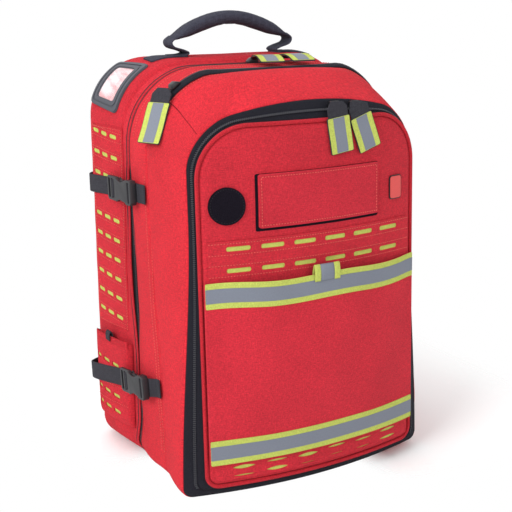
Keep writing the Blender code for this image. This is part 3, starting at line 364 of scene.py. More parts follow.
def on_rear_top(lift):
    """Rear section's top and both shoulders: u runs along the outline from the middle."""
    def place(u, v, w=0.0):
        flat = rear_half(v) - rear_radius(v)
        side = 1 if u >= 0 else -1
        point = on_rear_corner(side, lift)(max(0.0, abs(u) - flat) / rear_radius(v), v, w)
        if abs(u) < flat:
            point.x = u
        return point
    return place


# Meshes and pieces

def piece_from(name, bm, materials, outward=False):
    if outward:
        bmesh.ops.recalc_face_normals(bm, faces=bm.faces)
        if bm.calc_volume(signed=True) < 0:
            bmesh.ops.reverse_faces(bm, faces=bm.faces)
    mesh = bpy.data.meshes.new(name)
    bm.to_mesh(mesh)
    bm.free()
    for material in materials:
        mesh.materials.append(material)
    mesh.shade_smooth()
    piece = bpy.data.objects.new(name, mesh)
    SCENE.collection.objects.link(piece)
    return piece


def settle(piece):
    """Applies the piece's modifiers to its mesh."""
    bpy.context.view_layer.update()
    ready = piece.evaluated_get(bpy.context.evaluated_depsgraph_get())
    old = piece.data
    piece.data = bpy.data.meshes.new_from_object(ready)
    piece.modifiers.clear()
    bpy.data.meshes.remove(old)
    piece.data.name = piece.name
    return piece


def thicken(piece, thickness, lining=0):
    solid = piece.modifiers.new("wall", "SOLIDIFY")
    solid.thickness = thickness
    solid.offset = -1.0
    solid.use_even_offset = False
    solid.material_offset = lining
    return settle(piece)


def crease(piece, degrees=40):
    piece.data.set_sharp_from_angle(angle=math.radians(degrees))
    return piece


def subdivide(piece, levels=1):
    finer = piece.modifiers.new("finer", "SUBSURF")
    finer.levels = levels
    finer.render_levels = levels
    return settle(piece)


def raise_by(piece, relief):
    """Moves each point along its normal by relief(x, y, z)."""
    normals = [v.normal.copy() for v in piece.data.vertices]
    for vert, normal in zip(piece.data.vertices, normals):
        vert.co += normal * relief(*vert.co)
    piece.data.update()
    return piece


def join(name, pieces):
    bm = bmesh.new()
    materials = []
    for piece in pieces:
        places = []
        for material in piece.data.materials:
            if material not in materials:
                materials.append(material)
            places.append(materials.index(material))
        first = len(bm.faces)
        bm.from_mesh(piece.data)
        bm.faces.ensure_lookup_table()
        for face in bm.faces[first:]:
            face.material_index = places[face.material_index]
        bpy.data.objects.remove(piece, do_unlink=True)
    return piece_from(name, bm, materials)


def keep(piece, body, slot, *nodes):
    """Sets a finished piece on its body, and in the place of the model's nodes."""
    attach(piece, body)
    if nodes:
        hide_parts(*nodes)
    return piece


def grid(name, rows, materials, closed=False, caps=False, material_of=None):
    """Skin over rows of points, with a UV map in metres."""
    bm = bmesh.new()
    layer = bm.loops.layers.uv.new("cloth")
    verts = [[bm.verts.new(p) for p in row] for row in rows]
    count = len(rows[0])
    middle = rows[len(rows) // 2]
    along = [0.0]
    for a, b in zip(middle, middle[1:] + middle[:1]):
        along.append(along[-1] + (Vector(b) - Vector(a)).length)
    down = [0.0]
    for a, b in zip(rows, rows[1:]):
        down.append(down[-1] + sum((Vector(q) - Vector(p)).length for p, q in zip(a, b)) / count)
    for i in range(len(rows) - 1):
        for j in range(count if closed else count - 1):
            k = (j + 1) % count
            face = bm.faces.new((verts[i][j], verts[i + 1][j], verts[i + 1][k], verts[i][k]))
            for loop, uv in zip(face.loops, ((j, i), (j, i + 1), (j + 1, i + 1), (j + 1, i))):
                loop[layer].uv = (along[uv[0]], down[uv[1]])
            if material_of:
                face.material_index = material_of(i, j)
    if caps:
        bm.faces.new(verts[0])
        bm.faces.new(list(reversed(verts[-1])))
    return piece_from(name, bm, materials, outward=caps)


def rounded_rectangle(u0, u1, v0, v1, radius, steps=3):
    quarter = math.pi / 2
    points = arc((u1 - radius, v0 + radius), radius, -quarter, 0, steps)
    points += arc((u1 - radius, v1 - radius), radius, 0, quarter, steps)
    points += arc((u0 + radius, v1 - radius), radius, quarter, 2 * quarter, steps)
    points += arc((u0 + radius, v0 + radius), radius, 2 * quarter, 3 * quarter, steps)
    return points


def slice_mesh(bm, axis, places):
    normal = Vector((0, 0, 0))
    normal[axis] = 1.0
    for place in places:
        point = Vector((0, 0, 0))
        point[axis] = place
        everything = bm.verts[:] + bm.edges[:] + bm.faces[:]
        bmesh.ops.bisect_plane(bm, geom=everything, dist=1e-7, plane_co=point, plane_no=normal)


def steps_between(start, end, pitch):
    count = max(1, round((end - start) / pitch))
    return [start + (end - start) * i / count for i in range(1, count)]


def panel(name, outer, thickness, place, materials, holes=(), cell=0.008, material_of=None):
    """Sheet cut to a flat outline with holes, laid on a surface by place(u, v, w), with a UV map in metres."""
    curve = bpy.data.curves.new("outline", "CURVE")
    curve.dimensions = "2D"
    curve.fill_mode = "BOTH"
    curve.extrude = thickness / 2
    for loop in [outer] + list(holes):
        spline = curve.splines.new("POLY")
        spline.points.add(len(loop) - 1)
        for point, (u, v) in zip(spline.points, loop):
            point.co = (u, v, 0, 1)
        spline.use_cyclic_u = True
    guide = bpy.data.objects.new("outline", curve)
    SCENE.collection.objects.link(guide)
    bpy.context.view_layer.update()
    flat = bpy.data.meshes.new_from_object(guide.evaluated_get(bpy.context.evaluated_depsgraph_get()))
    bpy.data.objects.remove(guide)
    bpy.data.curves.remove(curve)
    bm = bmesh.new()
    bm.from_mesh(flat)
    bpy.data.meshes.remove(flat)
    bmesh.ops.remove_doubles(bm, verts=bm.verts, dist=1e-6)
    for axis in (0, 1):
        values = [p[axis] for p in outer]
        step = cell if isinstance(cell, float) else cell[axis]
        slice_mesh(bm, axis, steps_between(min(values), max(values), step))
    for spare in bm.loops.layers.uv.values():
        bm.loops.layers.uv.remove(spare)
    layer = bm.loops.layers.uv.new("cloth")
    for face in bm.faces:
        for loop in face.loops:
            loop[layer].uv = (loop.vert.co.x, loop.vert.co.y)
        if material_of:
            face.material_index = material_of(*face.calc_center_median())
    for vert in bm.verts:
        vert.co = place(vert.co.x, vert.co.y, vert.co.z + thickness / 2)
    return crease(piece_from(name, bm, materials, outward=True), 50)


def through(points, step=0.005):
    """Points of a smooth curve through the given ones."""
    points = [Vector(p) for p in points]
    out = []
    for i in range(len(points) - 1):
        a, b = points[i], points[i + 1]
        before = points[i - 1] if i else a * 2 - b
        after = points[i + 2] if i + 2 < len(points) else b * 2 - a
        count = max(1, math.ceil((b - a).length / step))
        for k in range(count):
            t = k / count
            out.append(0.5 * ((2 * a) + (b - before) * t + (2 * before - 5 * a + 4 * b - after) * t * t
                              + (3 * a - before - 3 * b + after) * t ** 3))
    return out + [points[-1]]


def strap(name, path, across, width, thickness, material, step=0.004):
    """Woven strip along a path with rounded edges, its width along the direction across, or across(point)."""
    points = through(path, step)
    rows = []
    for i, point in enumerate(points):
        ahead = (points[min(i + 1, len(points) - 1)] - points[max(i - 1, 0)]).normalized()
        side = Vector(across(point) if callable(across) else across).normalized()
        normal = ahead.cross(side).normalized()
        half = (width(i / (len(points) - 1)) if callable(width) else width) / 2
        h = thickness / 2
        profile = [(-half, -h * 0.3), (-half + h, -h), (-half * 0.33, -h), (half * 0.33, -h), (half - h, -h),
                   (half, -h * 0.3), (half, h * 0.3), (half - h, h), (half * 0.33, h), (-half * 0.33, h),
                   (-half + h, h), (-half, h * 0.3)]
        rows.append([point + side * u + normal * w for u, w in profile])
    return grid(name, rows, [material], closed=True, caps=True)


def tube(name, path, radius, material, closed=False, sides=10):
    """Round cord along a path."""
    points = [Vector(p) for p in path]
    count = len(points)
    normal = None
    rows = []
    for i, point in enumerate(points):
        if closed:
            ahead = points[(i + 1) % count] - points[i - 1]
        else:
            ahead = points[min(i + 1, count - 1)] - points[max(i - 1, 0)]
        ahead.normalize()
        normal = (ahead.orthogonal() if normal is None else normal - ahead * normal.dot(ahead)).normalized()
        side = ahead.cross(normal)
        rows.append([point + (normal * math.cos(a) + side * math.sin(a)) * radius
                     for a in (2 * math.pi * k / sides for k in range(sides))])
    if closed:
        rows.append(rows[0])
    piece = grid(name, rows, [material], closed=True, caps=not closed)
    if closed:
        bm = bmesh.new()
        bm.from_mesh(piece.data)
        bmesh.ops.remove_doubles(bm, verts=bm.verts, dist=1e-6)
        bmesh.ops.recalc_face_normals(bm, faces=bm.faces)
        bm.to_mesh(piece.data)
        bm.free()
    return piece


def softened(name, node, width, material):
    """Copy of a moulded node with rounded edges."""
    bm = bmesh.new()
    bm.from_mesh(NODES[node].data)
    bmesh.ops.remove_doubles(bm, verts=bm.verts, dist=1e-6)
    bmesh.ops.dissolve_limit(bm, angle_limit=math.radians(2), verts=bm.verts, edges=bm.edges)
    piece = piece_from(name, bm, [material])
    bevel = piece.modifiers.new("edges", "BEVEL")
    bevel.width = width
    bevel.segments = 3
    bevel.limit_method = "ANGLE"
    bevel.angle_limit = math.radians(30)
    bevel.use_clamp_overlap = True
    return crease(settle(piece), 35)


def stuffed(piece, voxel, cap, pressure=4.0, clear=None):
    """Swells a closed form under pressure as cloth, with no point moving further than cap."""
    remesh = piece.modifiers.new("skin", "REMESH")
    remesh.mode = "VOXEL"
    remesh.voxel_size = voxel
    settle(piece)
    start = [v.co.copy() for v in piece.data.vertices]
    ends = start
    cloth = piece.modifiers.new("cloth", "CLOTH")
    cloth.settings.use_pressure = True
    cloth.settings.uniform_pressure_force = pressure
    cloth.settings.effector_weights.gravity = 0
    cloth.settings.quality = 5
    cloth.point_cache.frame_start = 1
    cloth.point_cache.frame_end = 20
    for number in range(1, 21):
        SCENE.frame_set(number)
    ready = piece.evaluated_get(bpy.context.evaluated_depsgraph_get())
    ends = [v.co.copy() for v in ready.data.vertices]
    piece.modifiers.clear()
    SCENE.frame_set(1)
    for vert, a, b in zip(piece.data.vertices, start, ends):
        move = b - a
        if move.length > cap:
            move *= cap / move.length
        vert.co = clear(a + move) if clear else a + move
    piece.data.shade_smooth()
    return subdivide(piece)


# Finishes

def node(tree, kind, inputs=None, **settings):
    made = tree.nodes.new(kind)
    for key, value in settings.items():
        setattr(made, key, value)
    for key, value in (inputs or {}).items():
        if isinstance(value, bpy.types.NodeSocket):
            tree.links.new(value, made.inputs[key])
        else:
            made.inputs[key].default_value = value
    return made


def group_tree(name, inputs, outputs):
    tree = bpy.data.node_groups.new(name, "ShaderNodeTree")
    for title, kind in inputs:
        tree.interface.new_socket(title, in_out="INPUT", socket_type="NodeSocket" + kind)
    for title, kind in outputs:
        tree.interface.new_socket(title, in_out="OUTPUT", socket_type="NodeSocket" + kind)
    return tree, tree.nodes.new("NodeGroupInput").outputs, tree.nodes.new("NodeGroupOutput").inputs


def maths(tree, operation, a, b=0.0):
    return node(tree, "ShaderNodeMath", {0: a, 1: b}, operation=operation).outputs[0]


def weave_group():
    """Plain weave: warp and weft ribs that pass over each other in turn, of threads that are thick and thin."""
    tree, given, out = group_tree("weave", [("Vector", "Vector"), ("Threads", "Float")],
                                  [("Height", "Float"), ("Tone", "Float")])
    scaled = node(tree, "ShaderNodeVectorMath", {0: given["Vector"], "Scale": given["Threads"]}, operation="SCALE")
    split = node(tree, "ShaderNodeSeparateXYZ", {0: scaled.outputs[0]}).outputs
    ribs = []
    for axis in (0, 1):
        turn = maths(tree, "MULTIPLY", split[axis], math.pi)
        ribs.append(maths(tree, "ABSOLUTE", maths(tree, "SINE", turn)))
    flat = node(tree, "ShaderNodeCombineXYZ", {0: split[0], 1: split[1], 2: 0.25})
    over = node(tree, "ShaderNodeTexChecker", {"Vector": flat.outputs[0], "Scale": 1.0}).outputs["Fac"]
    height = node(tree, "ShaderNodeMix", {0: over, 2: ribs[0], 3: ribs[1]}, data_type="FLOAT").outputs[0]
    tree.links.new(height, out["Height"])
    slubs = []
    for stretch in ((0.15, 0.60, 1.0), (0.60, 0.15, 1.0)):
        drawn = node(tree, "ShaderNodeVectorMath", {0: flat.outputs[0], 1: stretch}, operation="MULTIPLY")
        slubs.append(node(tree, "ShaderNodeTexNoise", {"Vector": drawn.outputs[0], "Scale": 1.0, "Detail": 1.0}))
    both = maths(tree, "ADD", *[made.outputs["Fac"] for made in slubs])
    tree.links.new(maths(tree, "MULTIPLY", both, 0.5), out["Tone"])
    return tree


def mottle_group():
    """Uneven dye and handling: a colour that drifts over the cloth."""
    tree, given, out = group_tree("mottle", [("Vector", "Vector"), ("Colour", "Color"), ("Depth", "Float")],
                                  [("Colour", "Color"), ("Drift", "Float")])
    broad = node(tree, "ShaderNodeTexNoise", {"Vector": given["Vector"], "Scale": 14.0, "Detail": 3.0}).outputs["Fac"]
    fine = node(tree, "ShaderNodeTexNoise", {"Vector": given["Vector"], "Scale": 620.0, "Detail": 1.0}).outputs["Fac"]
    drift = maths(tree, "ADD", maths(tree, "MULTIPLY", broad, 0.4), maths(tree, "MULTIPLY", fine, 0.6))
    gain = maths(tree, "ADD", maths(tree, "MULTIPLY", maths(tree, "SUBTRACT", drift, 0.5), given["Depth"]), 1.0)
    shade = node(tree, "ShaderNodeVectorMath", {0: given["Colour"], "Scale": gain}, operation="SCALE")
    tree.links.new(shade.outputs[0], out["Colour"])
    tree.links.new(drift, out["Drift"])
    return tree


WEAVE = weave_group()
MOTTLE = mottle_group()


def fresh(name):
    material = bpy.data.materials.new(name)
    material.use_nodes = True
    return material, material.node_tree, material.node_tree.nodes["Principled BSDF"]


def coordinates(tree, source):
    if source == "UV":
        return node(tree, "ShaderNodeUVMap", uv_map="cloth").outputs[0]
    place = node(tree, "ShaderNodeTexCoord").outputs["Object"]
    if source == "Front":
        split = node(tree, "ShaderNodeSeparateXYZ", {0: place}).outputs
        return node(tree, "ShaderNodeCombineXYZ", {0: split[0], 1: split[2]}).outputs[0]
    return place


def bump(tree, shader, height, distance, strength=1.0):
    bumped = node(tree, "ShaderNodeBump", {"Height": height, "Distance": distance, "Strength": strength})
    tree.links.new(bumped.outputs[0], shader.inputs["Normal"])


def roughness(tree, shader, value, low, high):
    spread = node(tree, "ShaderNodeMapRange", {"Value": value, "To Min": low, "To Max": high})
    tree.links.new(spread.outputs[0], shader.inputs["Roughness"])


def cloth(name, colour, source="UV", threads=1500.0, depth=0.9, rough=(0.78, 0.92), relief=0.0004, slub=0.20):
    """Woven cloth."""
    material, tree, shader = fresh(name)
    where = coordinates(tree, source)
    weave = node(tree, "ShaderNodeGroup", node_tree=WEAVE)
    mottle = node(tree, "ShaderNodeGroup", node_tree=MOTTLE)
    for made in (weave, mottle):
        tree.links.new(where, made.inputs["Vector"])
    weave.inputs["Threads"].default_value = threads
    mottle.inputs["Colour"].default_value = (*colour, 1)
    mottle.inputs["Depth"].default_value = depth
    # Painted shade: the colour is darker where the weave sinks and lighter on its raised threads
    lit = node(tree, "ShaderNodeMapRange", {"Value": weave.outputs["Height"], "To Min": 0.84, "To Max": 1.06})
    drawn = node(tree, "ShaderNodeMapRange", {"Value": weave.outputs["Tone"], "From Min": 0.3, "From Max": 0.7,
                                              "To Min": 1 - slub, "To Max": 1 + slub})
    gain = maths(tree, "MULTIPLY", lit.outputs[0], drawn.outputs[0])
    shade = node(tree, "ShaderNodeVectorMath", {0: mottle.outputs["Colour"], "Scale": gain}, operation="SCALE")
    tree.links.new(shade.outputs[0], shader.inputs["Base Color"])
    roughness(tree, shader, weave.outputs["Tone"], *rough)
    bump(tree, shader, weave.outputs["Height"], relief)
    shader.inputs["Sheen Weight"].default_value = 0.02
    shader.inputs["Specular IOR Level"].default_value = 0.12
    material.diffuse_color = (*colour, 1)
    return material


def plastic(name, colour, rough=(0.38, 0.52), grain=900.0, relief=0.00006, metallic=0.0):
    """Moulded plastic or enamelled metal with a fine grain."""
    material, tree, shader = fresh(name)
    where = coordinates(tree, "Object")
    mottle = node(tree, "ShaderNodeGroup", {"Vector": where, "Colour": (*colour, 1), "Depth": 0.35}, node_tree=MOTTLE)
    tree.links.new(mottle.outputs["Colour"], shader.inputs["Base Color"])
    roughness(tree, shader, mottle.outputs["Drift"], *rough)
    pits = node(tree, "ShaderNodeTexNoise", {"Vector": where, "Scale": grain, "Detail": 2.0})
    bump(tree, shader, pits.outputs["Fac"], relief)
    shader.inputs["Metallic"].default_value = metallic
    return material


def pile(name, colour):
    """Fuzzy loop fastener."""
    material, tree, shader = fresh(name)
    where = coordinates(tree, "Object")
    loops = node(tree, "ShaderNodeTexVoronoi", {"Vector": where, "Scale": 900.0})
    mottle = node(tree, "ShaderNodeGroup", {"Vector": where, "Colour": (*colour, 1), "Depth": 0.9}, node_tree=MOTTLE)
    tree.links.new(mottle.outputs["Colour"], shader.inputs["Base Color"])
    roughness(tree, shader, loops.outputs["Distance"], 0.85, 1.0)
    bump(tree, shader, loops.outputs["Distance"], 0.0012)
    shader.inputs["Specular IOR Level"].default_value = 0.05
    return material


def spacer(name, colour):
    """Open spacer mesh over foam."""
    material, tree, shader = fresh(name)
    where = coordinates(tree, "Object")
    holes = node(tree, "ShaderNodeTexVoronoi", {"Vector": where, "Scale": 420.0, "Randomness": 0.35})
    mottle = node(tree, "ShaderNodeGroup", {"Vector": where, "Colour": (*colour, 1), "Depth": 0.5}, node_tree=MOTTLE)
    # Painted shade: the colour darkens into each opening of the mesh
    lit = node(tree, "ShaderNodeMapRange", {"Value": holes.outputs["Distance"], "From Max": 0.6, "To Min": 0.25,
                                            "To Max": 1.25})
    shade = node(tree, "ShaderNodeVectorMath", {0: mottle.outputs["Colour"], "Scale": lit.outputs[0]}, operation="SCALE")
    tree.links.new(shade.outputs[0], shader.inputs["Base Color"])
    roughness(tree, shader, mottle.outputs["Drift"], 0.8, 0.95)
    bump(tree, shader, holes.outputs["Distance"], 0.0011)
    return material


def film(name, colour):
    """Reflective film: grey with a fine lattice of beads."""
    material, tree, shader = fresh(name)
    where = coordinates(tree, "UV")
    beads = node(tree, "ShaderNodeTexVoronoi", {"Vector": where, "Scale": 1400.0, "Randomness": 0.6})
    mottle = node(tree, "ShaderNodeGroup", {"Vector": where, "Colour": (*colour, 1), "Depth": 0.35}, node_tree=MOTTLE)
    tree.links.new(mottle.outputs["Colour"], shader.inputs["Base Color"])
    roughness(tree, shader, beads.outputs["Distance"], 0.38, 0.55)
    bump(tree, shader, beads.outputs["Distance"], 0.00012)
    shader.inputs["Metallic"].default_value = 0.25
    return material


def vinyl(name):
    """Clear soft window."""
    material, tree, shader = fresh(name)
    where = coordinates(tree, "Object")
    waves = node(tree, "ShaderNodeTexNoise", {"Vector": where, "Scale": 60.0, "Detail": 1.0})
    roughness(tree, shader, waves.outputs["Fac"], 0.08, 0.2)
    bump(tree, shader, waves.outputs["Fac"], 0.0008)
    shader.inputs["Base Color"].default_value = (0.95, 0.9, 0.9, 1)
    shader.inputs["Alpha"].default_value = 0.14
    shader.inputs["Specular IOR Level"].default_value = 0.3
    return material


def card(name, dark, glare):
    """Slip of paper behind the window, with bright streaks of painted reflection where the film wrinkles over it."""
    material, tree, shader = fresh(name)
    where = node(tree, "ShaderNodeMapping", {"Vector": coordinates(tree, "Object"), "Rotation": (0.5, 0.2, 0.3),
                                             "Scale": (160.0, 40.0, 26.0)})
    streaks = node(tree, "ShaderNodeTexNoise", {"Vector": where.outputs[0], "Scale": 1.0, "Detail": 2.0})
    sharp = node(tree, "ShaderNodeMapRange", {"Value": streaks.outputs["Fac"], "From Min": 0.38, "From Max": 0.60})
    shade = node(tree, "ShaderNodeMix", {0: sharp.outputs[0], 6: (*dark, 1), 7: (*glare, 1)}, data_type="RGBA")
    tree.links.new(shade.outputs[2], shader.inputs["Base Color"])
    roughness(tree, shader, streaks.outputs["Fac"], 0.5, 0.8)
    return material


red_cloth = cloth("red_cloth", (0.74, 0.028, 0.044))
red_rear = cloth("red_rear_cloth", (0.66, 0.026, 0.042))
red_panel = cloth("red_laminate", (0.60, 0.027, 0.045), threads=1700.0, relief=0.00025)
red_lid = cloth("red_lid_cloth", (0.66, 0.029, 0.047))
red_flap = cloth("red_flap_cloth", (0.58, 0.027, 0.045), threads=1700.0, relief=0.00025)
red_welt = cloth("red_binding", (0.66, 0.024, 0.040), threads=2100.0)
black_cloth = cloth("black_cloth", (0.030, 0.031, 0.038), source="Object", threads=1300.0)
webbing = cloth("black_webbing", (0.042, 0.041, 0.051), threads=850.0, relief=0.0006)
slate_webbing = cloth("slate_webbing", (0.050, 0.051, 0.074), source="Object", threads=850.0, relief=0.0006)
zip_cloth = cloth("zip_tape", (0.017, 0.017, 0.026), threads=1900.0)
# Zip tape in the main zip's groove, darker than the other zip tape: painted shade of the groove
groove_shade_tape = cloth("groove_tape", (0.007, 0.007, 0.010), threads=1900.0)
lining = cloth("grey_lining", (0.055, 0.057, 0.065), threads=1800.0)
lime_cloth = cloth("lime_tape", (0.53, 0.60, 0.125), threads=2100.0, depth=0.3, relief=0.0002, slub=0.15)
silver_film = film("silver_film", (0.155, 0.172, 0.212))
buckle_black = plastic("buckle_plastic", (0.010, 0.010, 0.013), rough=(0.42, 0.58))
zip_black = plastic("zip_enamel", (0.012, 0.012, 0.014), rough=(0.22, 0.36), metallic=0.3)
zip_coil = plastic("zip_coil", (0.042, 0.043, 0.053), rough=(0.4, 0.55))
base_coat = plastic("base_coating", (0.022, 0.022, 0.028), rough=(0.6, 0.8), grain=500.0, relief=0.0005)
frame_grey = plastic("window_border", (0.050, 0.053, 0.066), rough=(0.5, 0.66), grain=700.0, relief=0.0002)
sheet_grey = plastic("frame_sheet", (0.19, 0.20, 0.22))
badge_red = plastic("badge_rubber", (0.58, 0.060, 0.055), rough=(0.5, 0.65))
loop_pile = pile("loop_pile", (0.009, 0.007, 0.012))
mesh_pad = spacer("spacer_mesh", (0.030, 0.031, 0.035))
clear_vinyl = vinyl("clear_vinyl")
# The card's own pinkish colour, and a paler colour painted in streaks as the reflection of the wrinkled film over it
card_paper = card("card", (0.55, 0.17, 0.19), (0.74, 0.56, 0.58))
red_thread = cloth("red_thread", (0.86, 0.17, 0.14), source="Object", threads=2600.0)
shaded_red = cloth("seam_shade", (0.22, 0.008, 0.014), source="Object", threads=2600.0)
lime_thread = cloth("lime_thread", (0.66, 0.74, 0.16), source="Object", threads=2600.0)
black_thread = cloth("black_thread", (0.03, 0.03, 0.035), source="Object", threads=2600.0)


# Rows of stitches and zip teeth

def sewn_tree():
    """Sets small rounded beads along lines, lying on the direction kept in the point attribute up."""
    tree = bpy.data.node_groups.new("sewn_row", "GeometryNodeTree")
    sockets = tree.interface
    sockets.new_socket("Geometry", in_out="INPUT", socket_type="NodeSocketGeometry")
    for title in ("Pitch", "Length", "Width", "Height"):
        sockets.new_socket(title, in_out="INPUT", socket_type="NodeSocketFloat")
    sockets.new_socket("Material", in_out="INPUT", socket_type="NodeSocketMaterial")
    sockets.new_socket("Geometry", in_out="OUTPUT", socket_type="NodeSocketGeometry")
    given = tree.nodes.new("NodeGroupInput").outputs
    out = tree.nodes.new("NodeGroupOutput").inputs
    curve = node(tree, "GeometryNodeMeshToCurve", {0: given["Geometry"]})
    spaced = node(tree, "GeometryNodeResampleCurve", {"Curve": curve.outputs[0], "Length": given["Pitch"]}, mode="LENGTH")
    up = node(tree, "GeometryNodeInputNamedAttribute", {"Name": "up"}, data_type="FLOAT_VECTOR").outputs[0]
    along = node(tree, "GeometryNodeInputTangent").outputs[0]
    stand = node(tree, "FunctionNodeAlignRotationToVector", {"Vector": up}, axis="Z")
    turn = node(tree, "FunctionNodeAlignRotationToVector", {"Rotation": stand.outputs[0], "Vector": along}, axis="X",
                pivot_axis="Z")
    bead = node(tree, "GeometryNodeMeshIcoSphere", {"Radius": 0.5, "Subdivisions": 1})
    sizes = node(tree, "ShaderNodeCombineXYZ", {0: given["Length"], 1: given["Width"], 2: given["Height"]})
    placed = node(tree, "GeometryNodeInstanceOnPoints", {"Points": spaced.outputs[0], "Instance": bead.outputs[0],
                                                         "Rotation": turn.outputs[0], "Scale": sizes.outputs[0]})
    real = node(tree, "GeometryNodeRealizeInstances", {0: placed.outputs[0]})
    even = node(tree, "GeometryNodeSetShadeSmooth", {0: real.outputs[0]})
    dressed = node(tree, "GeometryNodeSetMaterial", {0: even.outputs[0], "Material": given["Material"]})
    tree.links.new(dressed.outputs[0], out["Geometry"])
    return tree


SEWN = sewn_tree()


def sewn(name, lines, material, pitch, length, width, height):
    """One piece of beads along every line of (point, up) pairs."""
    bm = bmesh.new()
    layer = bm.verts.layers.float_vector.new("up")
    for line in lines:
        last = None
        for point, up in line:
            vert = bm.verts.new(point)
            vert[layer] = up
            if last:
                bm.edges.new((last, vert))
            last = vert
    piece = piece_from(name, bm, [])
    rows = piece.modifiers.new("rows", "NODES")
    rows.node_group = SEWN
    values = {"Pitch": pitch, "Length": length, "Width": width, "Height": height, "Material": material}
    for socket in SEWN.interface.items_tree:
        if socket.in_out == "INPUT" and socket.name in values:
            rows[socket.identifier] = values[socket.name]
    return settle(piece)


def seam(place, corners, lift=0.0, step=0.005):
    """Line of (point, up) pairs along a polyline in a surface's own coordinates."""
    line = []
    for a, b in zip(corners, corners[1:]):
        count = max(1, math.ceil(math.dist(a, b) / step))
        for k in range(count + (b is corners[-1])):
            u = a[0] + (b[0] - a[0]) * k / count
            v = a[1] + (b[1] - a[1]) * k / count
            point = place(u, v, lift)
            line.append((point, (place(u, v, lift + 0.001) - point).normalized()))
    return line


def box_line(u0, u1, v0, v1, inset=0.0):
    return [(u0 + inset, v0 + inset), (u1 - inset, v0 + inset), (u1 - inset, v1 - inset), (u0 + inset, v1 - inset),
            (u0 + inset, v0 + inset)]


def ring_line(low, high, first, last):
    """Line along a stretch of a ring, standing out towards another ring."""
    return [(low[i], (high[i] - low[i]).normalized()) for i in range(first, last)]


def flat_uv(piece, across, up):
    """Lays the piece's UV map flat along two axes, in metres."""
    layer = piece.data.uv_layers["cloth"].data
    for loop in piece.data.loops:
        co = piece.data.vertices[loop.vertex_index].co
        layer[loop.index].uv = (co[across], co[up])
    return piece


# Rear section

RING = len(main_ring(0.0))
TOP_INDEX = RING // 2
CORNER_START = sum(RING_COUNTS[:3])
WALL = 0.005
WEBBING = 0.0016


def every(start, end, step):
    count = max(1, round(abs(end - start) / step))
    return [start + (end - start) * k / count for k in range(count + 1)]


def draw_slit(piece, way=0):
    """Draws a piece along the groove's line on both sides of the pack, and a lip back from the groove by its way."""
    for vert in piece.data.vertices:
        x, y, z = vert.co
        off = abs(y - SPLIT_Y) - SLIT / 2
        vert.co.y += way * slit_spread(x, z) * smooth(1 - off / 0.012) - slit_shift(x, z) * smooth(1 - off / 0.040)
        vert.co.x *= rear_half(vert.co.y) / rear_half(y)
    piece.data.update()
    return piece


def rear_cover():
    front = SPLIT_Y + SLIT / 2
    edge = REAR_Y - REAR_EDGE
    rows = [rear_ring(front + 0.0024, 0.0030), rear_ring(front + 0.0006, 0.0018), rear_ring(front, 0.0008)]
    rows += [rear_ring(y) for y in every(front + 0.0008, 0.052, 0.0014) + every(0.057, edge, 0.005)]
    for turn in every(0.2, math.pi / 2, 0.2):
        rows.append(rear_ring(edge + REAR_EDGE * math.sin(turn), REAR_EDGE * (1 - math.cos(turn))))
    rows.append(rear_ring(REAR_Y, REAR_EDGE + 0.0012))
    piece = grid("rear_cover", rows, [red_rear, lining], closed=True)
    draw_slit(piece, 1)
    raise_by(piece, rear_relief)
    return keep(thicken(piece, COVER_WALL, 1), "rear_section", "red_fabric", "rear_gusset")


def back_panel_outline(grow):
    inset = REAR_EDGE + WALL * 0.3 + GAP - grow
    return outline(REAR_HALF - inset, BOTTOM + inset, REAR_TOP - inset, 0.010, REAR_RADIUS - inset)


def back_panel():
    shape = back_panel_outline(0.001)
    piece = panel("back_cover", shape, WALL - 0.001, lambda u, v, w: Vector((u, REAR_Y - WALL + 0.0005 + w, v)),
                  [mesh_pad], cell=0.012)
    keep(piece, "rear_section", "black_fabric", "back_panel")
    rim = [Vector((x, REAR_Y - 0.0004, z)) for x, z in back_panel_outline(0.0016)]
    keep(tube("back_binding", rim, 0.0022, webbing, closed=True), "rear_section", "black_webbing")


def main_tape(name, rows, body, node_name):
    piece = thicken(draw_slit(grid(name, rows, [groove_shade_tape], closed=True)), TAPE_T * 0.8)
    return keep(piece, body, "zip_tape", node_name)


def main_zip():
    front, rear = SPLIT_Y - SLIT / 2, SPLIT_Y + SLIT / 2
    rows = [rear_ring(SPLIT_Y + 0.0003, TAPE_T), rear_ring(SPLIT_Y + 0.0018, TAPE_T * 0.9),
            rear_ring(rear + 0.0012, TAPE_T * 1.15), rear_ring(rear + 0.0090, TAPE_T * 1.5)]
    main_tape("main_tape_rear", rows, "rear_section", "main_zip_tape_rear")
    rows = [main_ring(front - 0.0090, -TAPE_T * 1.5), main_ring(front - 0.0012, -TAPE_T * 1.15),
            main_ring(SPLIT_Y - 0.0018, -TAPE_T * 0.9), main_ring(SPLIT_Y - 0.0003, -TAPE_T)]
    main_tape("main_tape_front", rows, "main_section", "main_zip_tape_front")
    first, last = sum(RING_COUNTS[:2]) - 4, RING - sum(RING_COUNTS[:2]) + 5
    halves = (("main_teeth_rear", rear_ring(SPLIT_Y + 0.0007, TAPE_T - 0.0003), rear_ring(SPLIT_Y + 0.0007), "rear_section"),
              ("main_teeth_front", main_ring(SPLIT_Y - 0.0007, -TAPE_T + 0.0003), main_ring(SPLIT_Y - 0.0007),
               "main_section"))
    for name, low, high, body in halves:
        line = ring_line(low, high, first, last)
        teeth = sewn(name, [line], zip_coil, 0.0022, 0.0013, 0.0017, 0.0012)
        keep(draw_slit(teeth), body, "zip_metal")


def base_panels():
    for name, body in (("rear", "rear_section"), ("main", "main_section")):
        node_name = "base_panel_" + name
        keep(softened("base_skin_" + name, node_name, 0.001, base_coat), body, "base_rubber", node_name)


def frame_sheet():
    keep(softened("stiffener", "frame_sheet", 0.0005, sheet_grey), "rear_section", "frame_plastic", "frame_sheet")


WINDOW_Y = (0.062, 0.118)
WINDOW_ANGLE = (math.radians(25), math.radians(75))
WINDOW_BORDER = 0.011
WINDOW_T = 0.0022
WINDOW_RADIUS = rear_radius(sum(WINDOW_Y) / 2)


